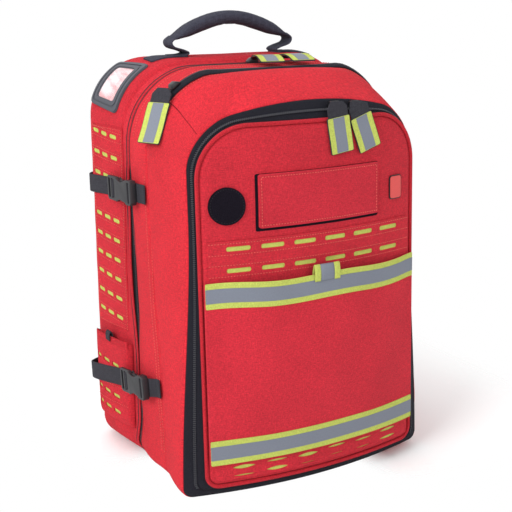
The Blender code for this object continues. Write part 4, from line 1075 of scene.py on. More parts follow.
def window_shape(inset, corner):
    """Rounded outline of the window in the corner's own angle and depth."""
    u0, u1 = (angle * WINDOW_RADIUS for angle in WINDOW_ANGLE)
    points = rounded_rectangle(u0 + inset, u1 - inset, WINDOW_Y[0] + inset, WINDOW_Y[1] - inset, corner, 5)
    return [(u / WINDOW_RADIUS, v) for u, v in points]


def window():
    cells = (0.05, 0.006)
    place = on_rear_corner(-1, GAP)
    ridged = []
    for low, high, lift in ((0.0, WINDOW_BORDER, WINDOW_T * 0.55), (0.0008, 0.0046, WINDOW_T),
                            (0.0062, WINDOW_BORDER - 0.0006, WINDOW_T * 0.95)):
        ridged.append(panel("ridge", window_shape(low, 0.006), lift, place, [frame_grey],
                            [window_shape(high, 0.004)], cells))
    keep(join("window_bezel", ridged), "rear_section", "window_frame", "id_window_frame")
    card = panel("id_card", window_shape(WINDOW_BORDER - 0.001, 0.003), 0.0003, on_rear_corner(-1, 0.0001), [card_paper],
                 cell=cells)
    keep(card, "rear_section", "window_film")
    pane = panel("window_pane", window_shape(WINDOW_BORDER - 0.0008, 0.003), 0.0005, on_rear_corner(-1, 0.0006),
                 [clear_vinyl], cell=cells)
    keep(pane, "rear_section", "window_film", "id_window_film")


SIDE_MOLLE_Y = (0.0485, 0.1145)
SIDE_MOLLE_Z = (0.163, 0.411)
SIDE_SLOT = 0.014
SIDE_SLOT_Y = (0.066, 0.0853, 0.1045)
SIDE_ROWS = [0.402 - 0.0254 * k for k in range(3)] + [0.3004 - 0.0243 * k for k in range(6)]
SIDE_LEAN = math.tan(math.radians(6))
SIDE_POCKET_Y = (0.040, 0.1145)
SIDE_POCKET_Z = (0.038, 0.151)
SIDE_POCKET_DEPTH = 0.0098
POCKET_SLOT_ROWS = (0.118, 0.077, 0.056)


def slot_shape(u, v, length, height, lean=0.0):
    points = rounded_rectangle(-length / 2, length / 2, -height / 2, height / 2, height / 2 - 0.0004, 3)
    return [(u + a, v + b + a * lean) for a, b in points]


def side_row(z, y):
    """Height of a leaning row of slots at the depth y."""
    return z + SIDE_LEAN * (y - SIDE_SLOT_Y[1])


def side_slots(rows):
    return [slot_shape(y, side_row(z, y), SIDE_SLOT, SLOT_HEIGHT, SIDE_LEAN) for z in rows for y in SIDE_SLOT_Y]


def on_side_pocket(side, lift):
    """Front of a side pocket, which bulges from its sewn edges and stands open above."""
    y0, y1 = SIDE_POCKET_Y
    z0 = SIDE_POCKET_Z[0]

    def place(u, v, w=0.0):
        edge = min(1.0, min(u - y0, y1 - u) / 0.010)
        low = min(1.0, (v - z0) / 0.016)
        rise = math.sqrt(max(0.0, 1 - (1 - edge) ** 2)) * math.sqrt(max(0.0, 1 - (1 - low) ** 2))
        soft = 0.0007 * ripple(u * 30, v * 22, side, 8) * rise
        return on_rear_side(side, GAP + (SIDE_POCKET_DEPTH - 0.003) * rise + soft + lift)(u, v, w)
    return place


def side_panels(side, tag):
    outer = rounded_rectangle(*SIDE_MOLLE_Y, *SIDE_MOLLE_Z, 0.001, 1)
    front = panel("front", outer, SLOT_CLOTH, on_rear_side(side, GAP), [red_rear], side_slots(SIDE_ROWS), 0.006)
    inner = rounded_rectangle(SIDE_MOLLE_Y[0] + 0.002, SIDE_MOLLE_Y[1] - 0.002, SIDE_MOLLE_Z[0] + 0.002,
                              SIDE_MOLLE_Z[1] - 0.002, 0.003, 2)
    backing = panel("backing", inner, 0.0002, on_rear_side(side, 0.00015), [lime_cloth], (), 0.006)
    keep(join("side_panel_" + tag, [front, backing]), "rear_section", "red_fabric", "side_molle_" + tag)

    outer = rounded_rectangle(*SIDE_POCKET_Y, *SIDE_POCKET_Z, 0.003, 2)
    slots = side_slots(POCKET_SLOT_ROWS)
    front = panel("front", outer, 0.0016, on_side_pocket(side, 0.0008), [red_rear], slots, 0.004)
    inside = rounded_rectangle(SIDE_POCKET_Y[0] + 0.004, SIDE_POCKET_Y[1] - 0.004, SIDE_POCKET_Z[0] + 0.006,
                               SIDE_POCKET_Z[1] - 0.006, 0.002, 2)
    backing = panel("backing", inside, 0.0003, on_side_pocket(side, 0.0004), [lime_cloth], (), 0.004)
    hem_z = SIDE_POCKET_Z[1]
    hem = strap("hem", [on_side_pocket(side, 0.0024)(y, hem_z - 0.004) for y in every(SIDE_POCKET_Y[0] + 0.0015,
                SIDE_POCKET_Y[1] - 0.0015, 0.006)], (0, 0, 1), 0.009, 0.0010, red_welt)
    loop_y = (SIDE_POCKET_Y[0] + SIDE_POCKET_Y[1]) / 2
    top = on_side_pocket(side, 0.0032)(loop_y, hem_z - 0.001)
    path = [top + Vector((side * 0.0004, 0, -0.004)), top + Vector((side * 0.0006, 0, 0.004)),
            top + Vector((-side * 0.0016, 0, 0.0075)), top + Vector((-side * 0.0040, 0, 0.004)),
            top + Vector((-side * 0.0040, 0, -0.003))]
    loop = strap("loop", path, (0, 1, 0), 0.012, 0.0012, webbing, 0.002)
    keep(join("side_pouch_" + tag, [front, backing, hem, loop]), "rear_section", "red_fabric", "side_pocket_" + tag)


# Compression straps and buckles

STRAP_WIDTH = 0.022
BUCKLE_T = 0.008
PRONG_T = 0.0032
SOCKET = 0.030
BAR_BLOCK = 0.014
BAR_SLOT = 0.007
MALE_BASE = 0.029
MOUTH_Y = {"upper": 0.043, "lower": 0.015}
STRAP_Z = {"upper": 0.3415, "lower": 0.1105}
STRAP_TILT = {"upper": math.radians(-3), "lower": math.radians(-9)}
MAIN_ANCHOR_Y = {"upper": -0.019, "lower": -0.045}
SEWN_ROOM = 0.0006
SEWN_RUN = 0.009
BACK_ROOM = 0.0022
PAD_HALF = 0.112


def strap_lift(level):
    under = GAP + MOLLE_T if level == "upper" else GAP + SIDE_POCKET_DEPTH
    return under + GAP + WEBBING / 2


def strap_y(level, reach):
    return MOUTH_Y[level] + reach * math.cos(STRAP_TILT[level])


def strap_base(level):
    """Depth where a rear strap leaves its buckle, and half the pack's width there."""
    y = strap_y(level, MALE_BASE) + WEBBING
    return y, rear_half(y + STRAP_WIDTH / 2 * abs(math.sin(STRAP_TILT[level])))


def front_strap_skin():
    return max(MAIN_HALF, SPLIT_HALF) + GAP + WEBBING / 2 + SEWN_ROOM


def buckle_floor(level):
    rear = strap_base(level)[1] + strap_lift(level) + WEBBING / 2 - (BUCKLE_T - PRONG_T) / 2 + GAP
    return max(rear, front_strap_skin() + WEBBING / 2 + GAP + WEBBING)


def compression_strap(side, tag, level):
    name = level + "_" + tag
    tilt = STRAP_TILT[level]
    edge_y = REAR_Y - REAR_EDGE

    def placed(path):
        return [(side * x, y, STRAP_Z[level] + math.tan(tilt) * (y - MOUTH_Y[level])) for x, y in path]

    def across(point):
        lean = tilt * (1 - smooth((point.y - edge_y) / REAR_EDGE))
        return 0, -math.sin(lean), math.cos(lean)
    lift = strap_lift(level)
    floor = buckle_floor(level)
    seat = floor + (BUCKLE_T - PRONG_T) / 2
    slot_y = strap_y(level, MALE_BASE * 0.5)
    base_y, base_half = strap_base(level)
    path = [(seat + PRONG_T * 0.9, slot_y - 0.004), (seat + PRONG_T * 0.9, slot_y),
            (seat - WEBBING / 2 - GAP, slot_y + 0.002), (base_half + lift, base_y + 0.002), (REAR_HALF + lift, edge_y)]
    for step in (1, 2, 3):
        turn = math.pi / 2 * step / 3
        reach = REAR_EDGE + lift * (3 - step) / 3 + BACK_ROOM
        path.append((REAR_HALF - REAR_EDGE + reach * math.cos(turn), edge_y + reach * math.sin(turn)))
    path.append((PAD_HALF + 0.006, REAR_Y + BACK_ROOM))
    keep(strap("strap_rear_" + name, placed(path), across, STRAP_WIDTH, WEBBING, webbing), "rear_section",
         "black_webbing", "comp_strap_rear_" + name)

    slot_y = strap_y(level, BAR_SLOT - SOCKET - BAR_BLOCK)
    under = floor - GAP - WEBBING / 2
    skin = front_strap_skin() + 0.0008
    anchor = MAIN_ANCHOR_Y[level]
    path = [(floor + BUCKLE_T * 0.85, slot_y + 0.002), (under + 0.001, slot_y - 0.0010), (under, slot_y - 0.007),
            (skin, anchor + SEWN_RUN), (skin, anchor)]
    keep(strap("strap_front_" + name, placed(path), across, STRAP_WIDTH, WEBBING, webbing), "main_section",
         "black_webbing", "comp_strap_front_" + name)
    for kind, body in (("male", "rear_section"), ("female", "main_section")):
        node_name = "buckle_" + kind + "_" + name
        keep(softened("moulded_" + node_name, node_name, 0.0007, buckle_black), body, "buckle_plastic", node_name)


# Carrying handle

HANDLE_Y = 0.080
HANDLE_ROOT = 0.066
HANDLE_KNUCKLE = 0.0795
HANDLE_TOP = 0.5405
HANDLE_WIDTH = 0.028
HANDLE_T = 0.011
GRIP_T = 0.0136
HANDLE_TAIL = 0.045
HANDLE_AXIS_Z = 0.4955


def handle():
    reach = HANDLE_ROOT + HANDLE_TAIL
    tails = []
    for start, end in ((-reach, 0.004 - HANDLE_ROOT), (HANDLE_ROOT - 0.004, reach)):
        strip = rounded_rectangle(start, end, HANDLE_Y - 0.0125, HANDLE_Y + 0.0125, 0.002, 1)
        tails.append(panel("tail", strip, WEBBING, on_rear_top(GAP), [slate_webbing], (), 0.006))
    keep(join("handle_tails", tails), "rear_section", "black_webbing", "handle_webbing")

    low = HANDLE_AXIS_Z + HANDLE_T * 1.1
    top = HANDLE_TOP - HANDLE_T / 2
    half = []
    for s in (1.0, 0.92, 0.80, 0.65, 0.5, 0.25, 0.0):
        half.append((HANDLE_KNUCKLE * s, low + (top - low) * math.cos(math.pi / 2 * s) ** 1.05))
    path = [Vector((x, HANDLE_Y, z)) for x, z in half + [(-x, z) for x, z in reversed(half[:-1])]]
    points = through(path, 0.004)
    rows = []
    for i, point in enumerate(points):
        ahead = (points[min(i + 1, len(points) - 1)] - points[max(i - 1, 0)]).normalized()
        normal = ahead.cross(Vector((0, 1, 0))).normalized()
        end = min(i, len(points) - 1 - i) / len(points)
        thick = GRIP_T / 2 * (0.30 + 0.70 * smooth(end / 0.16))
        ring = []
        for k in range(20):
            angle = 2 * math.pi * k / 20
            c, s = math.cos(angle), math.sin(angle)
            ring.append(point + Vector((0, 1, 0)) * HANDLE_WIDTH / 2 * math.copysign(abs(c) ** 0.7, c)
                        + normal * thick * math.copysign(abs(s) ** 0.8, s))
        rows.append(ring)
    piece = stuffed(grid("handle_pad", rows, [slate_webbing], closed=True, caps=True), 0.0032, 0.003)
    keep(piece, "handle", "black_fabric", "handle_grip")

    floor = REAR_TOP + GAP + WEBBING * 1.5
    for side, tag in ((-1, "left"), (1, "right")):
        bend = [(HANDLE_ROOT + 0.016, floor), (HANDLE_ROOT + 0.002, floor + 0.0004), (HANDLE_ROOT - 0.005, floor + 0.003),
                (HANDLE_ROOT + 0.002, floor + 0.0065), (HANDLE_KNUCKLE + 0.001, floor + 0.0105),
                (HANDLE_KNUCKLE + 0.004, low - 0.001), (HANDLE_KNUCKLE - 0.003, low + 0.0045)]
        points = [(side * x, HANDLE_Y, z) for x, z in bend]
        fold = strap("handle_fold_" + tag, points, (0, 1, 0), HANDLE_WIDTH - 0.003, 0.0024, slate_webbing, 0.0025)
        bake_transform(fold)


# Harness on the wearer's side

PAD_BOTTOM = 0.100
PAD_TOP = 0.445
PAD_T = 0.016
STRAP_X = 0.062
STRAP_STAND = 0.045
STRAP_PAD_T = 0.012
HARNESS_WEBBING = 0.025
PAD_GROOVES = (0.19, 0.28, 0.365)


def back_pad():
    rows = []
    for y, inset in ((0.0, 0.004), (0.12, 0.0), (0.5, 0.0), (0.75, 0.005), (0.92, 0.014), (1.0, 0.030)):
        points = outline(PAD_HALF - inset - 0.002, PAD_BOTTOM + inset + 0.002, PAD_TOP - inset - 0.002, 0.040 - inset,
                         0.060 - inset)
        rows.append([Vector((x, REAR_Y + GAP + (PAD_T - 0.003) * y, z)) for x, z in points])
    piece = grid("back_cushion", rows, [mesh_pad], closed=True, caps=True)

    def clear(point):
        depth = 0.006 * sum(bump_at(point.z, z, 0.007) for z in PAD_GROOVES) + 0.006 * bump_at(point.x, 0, 0.009)
        floor = REAR_Y + GAP
        rear = floor + (point.y - floor) * max(0.25, 1 - depth / PAD_T * smooth((point.y - floor) / PAD_T * 2))
        return Vector((point.x, min(floor + PAD_T, max(floor, rear)), point.z))
    stuffed(piece, 0.005, 0.006, clear=clear)
    keep(piece, "rear_section", "black_fabric", "back_pad")


def shoulder_strap(side, tag):
    top = PAD_TOP + 0.008
    stand = REAR_Y + STRAP_STAND
    path = [(side * (STRAP_X - 0.014), REAR_Y + 0.010, top), (side * (STRAP_X - 0.012), stand - 0.012, top - 0.004),
            (side * (STRAP_X - 0.008), stand, top - 0.030), (side * STRAP_X, stand + 0.004, top - 0.100),
            (side * (STRAP_X + 0.012), stand + 0.002, top - 0.180), (side * (STRAP_X + 0.020), stand - 0.006, top - 0.250),
            (side * (STRAP_X + 0.026), stand - 0.014, top - 0.300)]
    widths = (0.042, 0.050, 0.058, 0.062, 0.062, 0.050, 0.034)

    def wide(share):
        place = share * (len(widths) - 1)
        i = min(len(widths) - 2, int(place))
        return widths[i] + (widths[i + 1] - widths[i]) * (place - i) - 0.003
    piece = strap("shoulder_pad_" + tag, path, (1, 0, 0), wide, STRAP_PAD_T - 0.003, mesh_pad, 0.008)
    stuffed(piece, 0.004, 0.0022)
    keep(piece, "rear_section", "black_fabric", "shoulder_strap_" + tag)

    end = Vector(path[-1])
    down = (end - Vector(path[-2])).normalized()
    lock = end + down * (GAP + 0.015)
    out = Vector((1, 0, 0)).cross(down).normalized()
    node_name = "strap_adjuster_" + tag
    keep(softened("ladder_lock_" + tag, node_name, 0.0008, buckle_black), "rear_section", "buckle_plastic", node_name)
    slot = lock + down * 0.0075
    away = out if out.y < 0 else -out
    sewn_y = REAR_Y + GAP + WEBBING / 2
    tail = [slot + away * -0.003, slot + away * 0.0036 + down * 0.0008, slot + away * 0.0045 + down * 0.012]
    tail += [Vector((tail[2].x, sewn_y + lift, PAD_BOTTOM - drop)) for lift, drop in ((0.008, 0.008), (0.0, 0.030),
                                                                                  (0.0, 0.052))]
    keep(strap("shoulder_tail_" + tag, tail, (1, 0, 0), HARNESS_WEBBING, WEBBING, webbing), "rear_section",
         "black_webbing", "shoulder_webbing_" + tag)


# Middle section

def main_cover():
    rear = SPLIT_Y - SLIT / 2
    rows = [main_ring(RIM_Y + 0.0030, -0.0026), main_ring(RIM_Y + 0.0004, -0.0012)]
    rows += [main_ring(y) for y in every(RIM_Y + 0.0012, -0.046, 0.005) + every(-0.0445, -0.0155, 0.0015)
             + every(-0.012, 0.016, 0.004) + every(0.0175, rear - 0.0008, 0.0015)]
    rows += [main_ring(rear, -0.0008), main_ring(rear - 0.0006, -0.0018), main_ring(rear - 0.0024, -0.0030)]
    piece = grid("main_cover", rows, [red_cloth, lining], closed=True)
    draw_slit(piece, -1)
    raise_by(piece, main_relief)
    return keep(thicken(piece, COVER_WALL, 1), "main_section", "red_fabric", "main_gusset")


def divider():
    inset = 0.0066
    y0, y1 = MID_WALL_Y - 0.002, MID_WALL_Y + 0.002
    rows = [main_ring(y0, -inset - 0.002), main_ring(y0 + 0.001, -inset), main_ring(y1 - 0.001, -inset),
            main_ring(y1, -inset - 0.002)]
    piece = grid("divider", rows, [lining], closed=True, caps=True)
    keep(crease(piece, 60), "main_section", "divider_fabric", "mid_wall")


def sunk(ring):
    return [point - Vector((0, 0, top_zip_dip(point.x))) for point in ring]


def top_zip():
    first, last = CORNER_START + 3, RING - CORNER_START - 2
    columns = []
    for across, out in ((-0.013, 0.0006), (-0.009, 0.0016), (-0.002, 0.0021), (0.002, 0.0021), (0.009, 0.0016),
                        (0.013, 0.0006)):
        columns.append(sunk(main_ring(TOP_ZIP_Y + across, out)[first:last]))
    piece = thicken(grid("crown_zip_tape", columns, [zip_cloth]), 0.001)
    keep(piece, "main_section", "zip_tape", "top_zip_tape")
    lines = []
    for y in (TOP_ZIP_Y - 0.0011, TOP_ZIP_Y + 0.0011):
        lines.append(ring_line(sunk(main_ring(y, 0.0024)), sunk(main_ring(y, 0.005)), first, last))
    keep(sewn("top_zip_teeth", lines, zip_coil, 0.0022, 0.0014, 0.0026, 0.0014), "main_section", "zip_metal")


def front_zip():
    step = TAPE_T * 0.8
    shares = (0.02, 0.25, 0.5, 0.75, 1.0)
    bag = []
    lid = []
    for s in shares:
        swell = 0.0008 * math.sin(3 * s)
        share = COIL_SHARE + (1 - COIL_SHARE) * s
        bag.append(band_ring(COIL_Y + (RIM_Y - step - COIL_Y) * s, share, swell))
    for s in shares:
        swell = 0.0008 * math.sin(3 * s)
        lid.append(band_ring(LID_EDGE_Y + (COIL_Y - LID_EDGE_Y) * (s - 0.02), COIL_SHARE * (s - 0.02), swell))
    keep(thicken(grid("front_zip_bag_side", bag, [zip_cloth], closed=True), 0.0014), "main_section", "zip_tape",
         "front_zip_tape_bag")
    keep(thicken(grid("front_zip_lid_side", lid, [zip_cloth], closed=True), 0.0014), "front_lid", "zip_tape",
         "front_zip_tape_lid")
    first, last = sum(RING_COUNTS[:2]) - 3, RING - sum(RING_COUNTS[:2]) + 4
    for name, shift, body in (("front_teeth_bag", 1, "main_section"), ("front_teeth_lid", -1, "front_lid")):
        y = COIL_Y + shift * 0.0007
        share = COIL_SHARE + shift * 0.02
        line = ring_line(band_ring(y - 0.0007, share, 0.0007), band_ring(y - 0.0027, share, 0.0027), first, last)
        keep(sewn(name, [line], zip_coil, 0.0023, 0.0015, 0.0024, 0.0018), body, "zip_metal")


# Front lid

def lid_cover():
    middle = (LID_BOTTOM + LID_TOP) / 2
    flat = lid_outline(-LID_ROUND * 1.6)
    rows = []
    for share in every(0.02, 1.0, 0.035):
        rows.append([on_lid(0.0)(x * share, middle + (z - middle) * share) for x, z in flat])
    for forward, inset in ((0.10, 1.05), (0.3, 0.55), (0.55, 0.22), (0.8, 0.05)):
        rows.append(lid_ring(LID_Y + LID_ROUND * forward, -LID_ROUND * inset))
    rows.append(lid_ring(LID_EDGE_Y, 0.0))
    piece = flat_uv(grid("lid_cover", rows, [red_lid, lining], closed=True), 0, 2)
    bm = bmesh.new()
    bm.from_mesh(piece.data)
    bmesh.ops.contextual_create(bm, geom=[e for e in bm.edges if e.is_boundary and e.verts[0].co.xz.length < 0.25
                                          and abs(e.verts[0].co.z - middle) < 0.02 and abs(e.verts[0].co.x) < 0.02])
    bm.to_mesh(piece.data)
    bm.free()
    keep(thicken(piece, LID_WALL, 1), "front_lid", "red_fabric", "lid_panel")
    welt = lid_ring(LID_EDGE_Y - PIPING_R + 0.0006, PIPING_R * 0.9)
    keep(tube("lid_welt", welt, PIPING_R, red_welt, closed=True), "front_lid", "red_piping", "lid_piping")


def lens_shape(u, v, length, height):
    points = []
    for k in range(13):
        share = k / 12
        points.append((u + (share - 0.5) * length, v - height / 2 * math.sin(math.pi * share) ** 0.8))
    for k in range(11, 0, -1):
        share = k / 12
        points.append((u + (share - 0.5) * length, v + height / 2 * math.sin(math.pi * share) ** 0.8))
    return points


def slot_columns():
    return [(column - 2.5) * SLOT_PITCH for column in range(6)]


def front_slots():
    upper = FRONT_SLOT_ROWS
    lower = [z for z, gapes in GAPING_ROWS]
    slots = [slot_shape(x, z, SLOT_LENGTH, SLOT_HEIGHT) for z in upper for x in slot_columns()]
    for z, gapes in GAPING_ROWS:
        for x, gape in zip(slot_columns(), gapes):
            slots.append(lens_shape(x, z + 0.0010 * math.sin(x * 90), SLOT_LENGTH, GAPING_HEIGHT * gape))
    outer = rounded_rectangle(-MOLLE_HALF, MOLLE_HALF, MOLLE_BOTTOM, MOLLE_TOP, 0.002, 2)
    front = panel("front", outer, SLOT_CLOTH, on_lid(GAP), [red_lid], slots, 0.008)
    pieces = [front]
    for v0, v1 in ((upper[1] - 0.007, upper[0] + 0.007), (lower[1] - 0.0030, lower[0] + 0.005)):
        box = rounded_rectangle(-MOLLE_HALF + 0.004, MOLLE_HALF - 0.004, v0, v1, 0.002, 1)
        pieces.append(panel("backing", box, 0.0002, on_lid(0.00018), [lime_cloth], (), 0.008))
    keep(join("front_slot_panel", pieces), "front_lid", "red_fabric", "front_molle_panel")


def tape(name, v0, v1):
    ends = POCKET_HALF - 0.0005
    rim = (v1 - v0) * LIME_SHARE
    base = panel("base", rounded_rectangle(-ends, ends, v0, v1, 0.001, 1), 0.0005, on_pocket(POCKET_T + 0.0002),
                 [lime_cloth], (), 0.005)
    strip = panel("strip", rounded_rectangle(-ends, ends, v0 + rim, v1 - rim, 0.0004, 1), 0.0003,
                  on_pocket(POCKET_T + 0.0007), [silver_film], (), 0.005)
    return keep(join("pocket_" + name, [base, strip]), "front_lid", "reflective_tape", name)


def front_pocket():
    shape = rounded_rectangle(-POCKET_HALF, POCKET_HALF, POCKET_BOTTOM, POCKET_TOP, 0.002, 2)
    piece = panel("pocket_cloth", shape, POCKET_T, on_pocket(0.0), [red_panel], (), 0.005)
    keep(piece, "front_lid", "red_fabric", "front_pocket")
    tape("tape_lower", POCKET_BOTTOM - 0.0008, POCKET_BOTTOM + TAPE_HEIGHT)
    tape("tape_upper", POCKET_TOP - TAPE_HEIGHT, POCKET_TOP + 0.0006)
    face = on_pocket(POCKET_T + 0.0016)(0.0, POCKET_TOP - 0.006)
    hidden = face + Vector((0, POCKET_T + 0.0032, 0))
    rise = Vector((0, 0, 1))
    path = [face - rise * 0.002, face + rise * 0.008, (face + hidden) / 2 + rise * 0.0165, hidden + rise * 0.008,
            hidden - rise * 0.002]
    parts = []
    for x, width, material in ((-0.0125, 0.0078, lime_cloth), (0.0005, 0.0180, silver_film), (0.0135, 0.0078, lime_cloth)):
        parts.append(strap("part", [p + Vector((x, 0, 0)) for p in path], (1, 0, 0), width, 0.0011, material, 0.002))
    keep(join("pocket_pull_loop", parts), "front_lid", "reflective_pull")


def lid_trim():
    x, z, radius = PATCH
    disc = arc((x, z), radius, 0, 2 * math.pi, 48)[:-1]
    keep(panel("round_patch", disc, 0.0016, on_lid(0.0002), [loop_pile], (), 0.006), "front_lid", "black_fabric")
    left, right, low, high = BADGE_BOX
    rim = panel("rim", rounded_rectangle(left, right, low, high, 0.004, 5), 0.0014, on_lid(0.0002), [zip_black], (), 0.006)
    face = panel("face", rounded_rectangle(left + 0.0012, right - 0.0012, low + 0.0012, high - 0.0012, 0.003, 5), 0.0020,
                 on_lid(0.0002), [badge_red], (), 0.006)
    keep(join("blank_badge", [rim, face]), "front_lid", "black_fabric")
    left, right, low, high = NAME_BOX
    backing = panel("name_backing", rounded_rectangle(left - 0.0035, right + 0.0008, low - 0.0035, high + 0.0005, 0.002, 2),
                    0.0002, on_lid(0.00012), [loop_pile], (), 0.008)
    keep(backing, "front_lid", "black_fabric")
    flap = panel("name_flap_cloth", rounded_rectangle(left, right, low, high, 0.0025, 3), 0.0024, on_lid(GAP), [red_flap],
                 (), 0.008)
    keep(flap, "name_flap", "red_fabric", "name_panel")


# Zip sliders and pulls

PULL_WIDTH = 0.030
PULL_TAPE = 0.041
TOP_PULL_TAPE = 0.048
PULL_NECK = 0.016
PULL_NECK_SHARE = 0.86
PULL_T = 0.0022
PULL_STRIPE = 0.0075
FRONT_HINGES = (((0.0215, -0.1261, 0.44786), 8), ((0.05, -0.12433, 0.44638), 19))
FRONT_FALL = (0, -0.035, -1)
MAIN_HINGES = (((0.012, 0.0255, 0.4855), 104), ((0.046, 0.0255, 0.4855), 96))
TOP_HINGE = (-0.13999, -0.02517, 0.46244)
TOP_ACROSS = (-0.455, 0.8905, 0)
TOP_FALL = (-0.425, -0.19, -0.888)


def pull(tag, body, hinge, across, down, tape=PULL_TAPE, slant=0.0, arch=0.0):
    """Reflective tape on a webbing neck, hanging from a slider, askew by slant in its own plane and arched outwards."""
    pin = Vector(across).normalized()
    fall = Vector(down)
    fall = (fall - pin * fall.dot(pin)).normalized()
    normal = pin.cross(fall)
    sideways = pin * math.cos(slant) - fall * math.sin(slant)
    along = fall * math.cos(slant) + pin * math.sin(slant)
    end = PULL_NECK + tape

    def place(thickness):
        def put(u, v, w):
            sag = 0.0006 * math.sin(v * 95) * smooth((v - 0.01) / 0.02) - arch * math.sin(math.pi * max(0.0, v) / end)
            return Vector(hinge) + sideways * u + along * v + normal * (w - thickness / 2 + sag)
        return put
    half = PULL_WIDTH / 2
    edge = half * PULL_NECK_SHARE
    eye = half * 0.5
    tilt = eye * math.tan(slant)
    neck = [(-eye, -0.001 - tilt), (eye, -0.001 + tilt), (edge, 0.006), (edge, PULL_NECK + 0.004),
            (-edge, PULL_NECK + 0.004), (-edge, 0.006)]
    parts = [panel("neck", neck, 0.0016, place(0.0016), [webbing], (), 0.003)]
    paddle = rounded_rectangle(-half, half, PULL_NECK, end, 0.0016, 2)
    parts.append(panel("paddle", paddle, PULL_T - 0.0008, place(PULL_T - 0.0008), [webbing], (), 0.0026))
    lime = rounded_rectangle(-half + 0.0007, half - 0.0007, PULL_NECK + 0.0006, end - 0.0006, 0.0012, 2)
    parts.append(panel("lime", lime, PULL_T - 0.0003, place(PULL_T - 0.0003), [lime_cloth], (), 0.0026))
    strip = [(-PULL_STRIPE, PULL_NECK + 0.001), (PULL_STRIPE, PULL_NECK + 0.001), (PULL_STRIPE, end - 0.001),
             (-PULL_STRIPE, end - 0.001)]
    parts.append(panel("strip", strip, PULL_T, place(PULL_T), [silver_film], (), 0.004))
    keep(join("pull_" + tag, parts), body, "reflective_pull", tag)


def sliders_and_pulls():
    for (hinge, slant), tag in zip(FRONT_HINGES, "ab"):
        pull("front_zip_tab_" + tag, "front_pull_" + tag, hinge, (1, 0, 0), FRONT_FALL, slant=math.radians(slant))
    for (hinge, degrees), tag in zip(MAIN_HINGES, "ab"):
        sweep = math.radians(degrees)
        across = (math.sin(sweep), math.cos(sweep), 0)
        fall = (math.cos(sweep), -math.sin(sweep), 0)
        pull("main_zip_tab_" + tag, "main_pull_" + tag, hinge, across, fall, arch=0.0065)
    pull("top_zip_tab", "top_pull", TOP_HINGE, TOP_ACROSS, TOP_FALL, TOP_PULL_TAPE)
    bodies = {"front_zip_slider_a": "front_slider_a", "front_zip_slider_b": "front_slider_b",
              "main_zip_slider_a": "main_slider_a", "main_zip_slider_b": "main_slider_b", "top_zip_slider": "top_slider"}
    for name, body in bodies.items():
        keep(softened("cast_" + name, name, 0.0009, zip_black), body, "zip_metal", name)


# Stitching

def on_main(y, place, lift=0.0002):
    """Point and outward direction on the middle section's cover, at a place along its ring."""
    i = int(place)
    share = place - i
    low, high = main_ring(y), main_ring(y, 0.002)
    point = low[i].lerp(low[i + 1], share)
    normal = (high[i].lerp(high[i + 1], share) - point).normalized()
    return point + normal * (main_relief(*point) + lift), normal


def side_seam_line(side, shift):
    """Stitches beside the seam on the middle section's side."""
    first = sum(RING_COUNTS[:2]) + 2
    places = range(first, CORNER_START - 2)
    line = []
    for place in places:
        place = place if side > 0 else RING - place
        z = main_ring(0.0)[place].z
        line.append(on_main(side_seam_y(z) + shift, place))
    return line


def mitre_line(side):
    """Line along the seam from the top zip's end to the front rim's corner, where its painted shade is drawn."""
    line = []
    for k in range(25):
        share = k / 24
        place = CORNER_START + 7.4 + 0.8 * share
        line.append(on_main(TOP_ZIP_Y - 0.012 + (RIM_Y + 0.004 - TOP_ZIP_Y + 0.012) * share, place if side > 0 else RING - place))
    return line


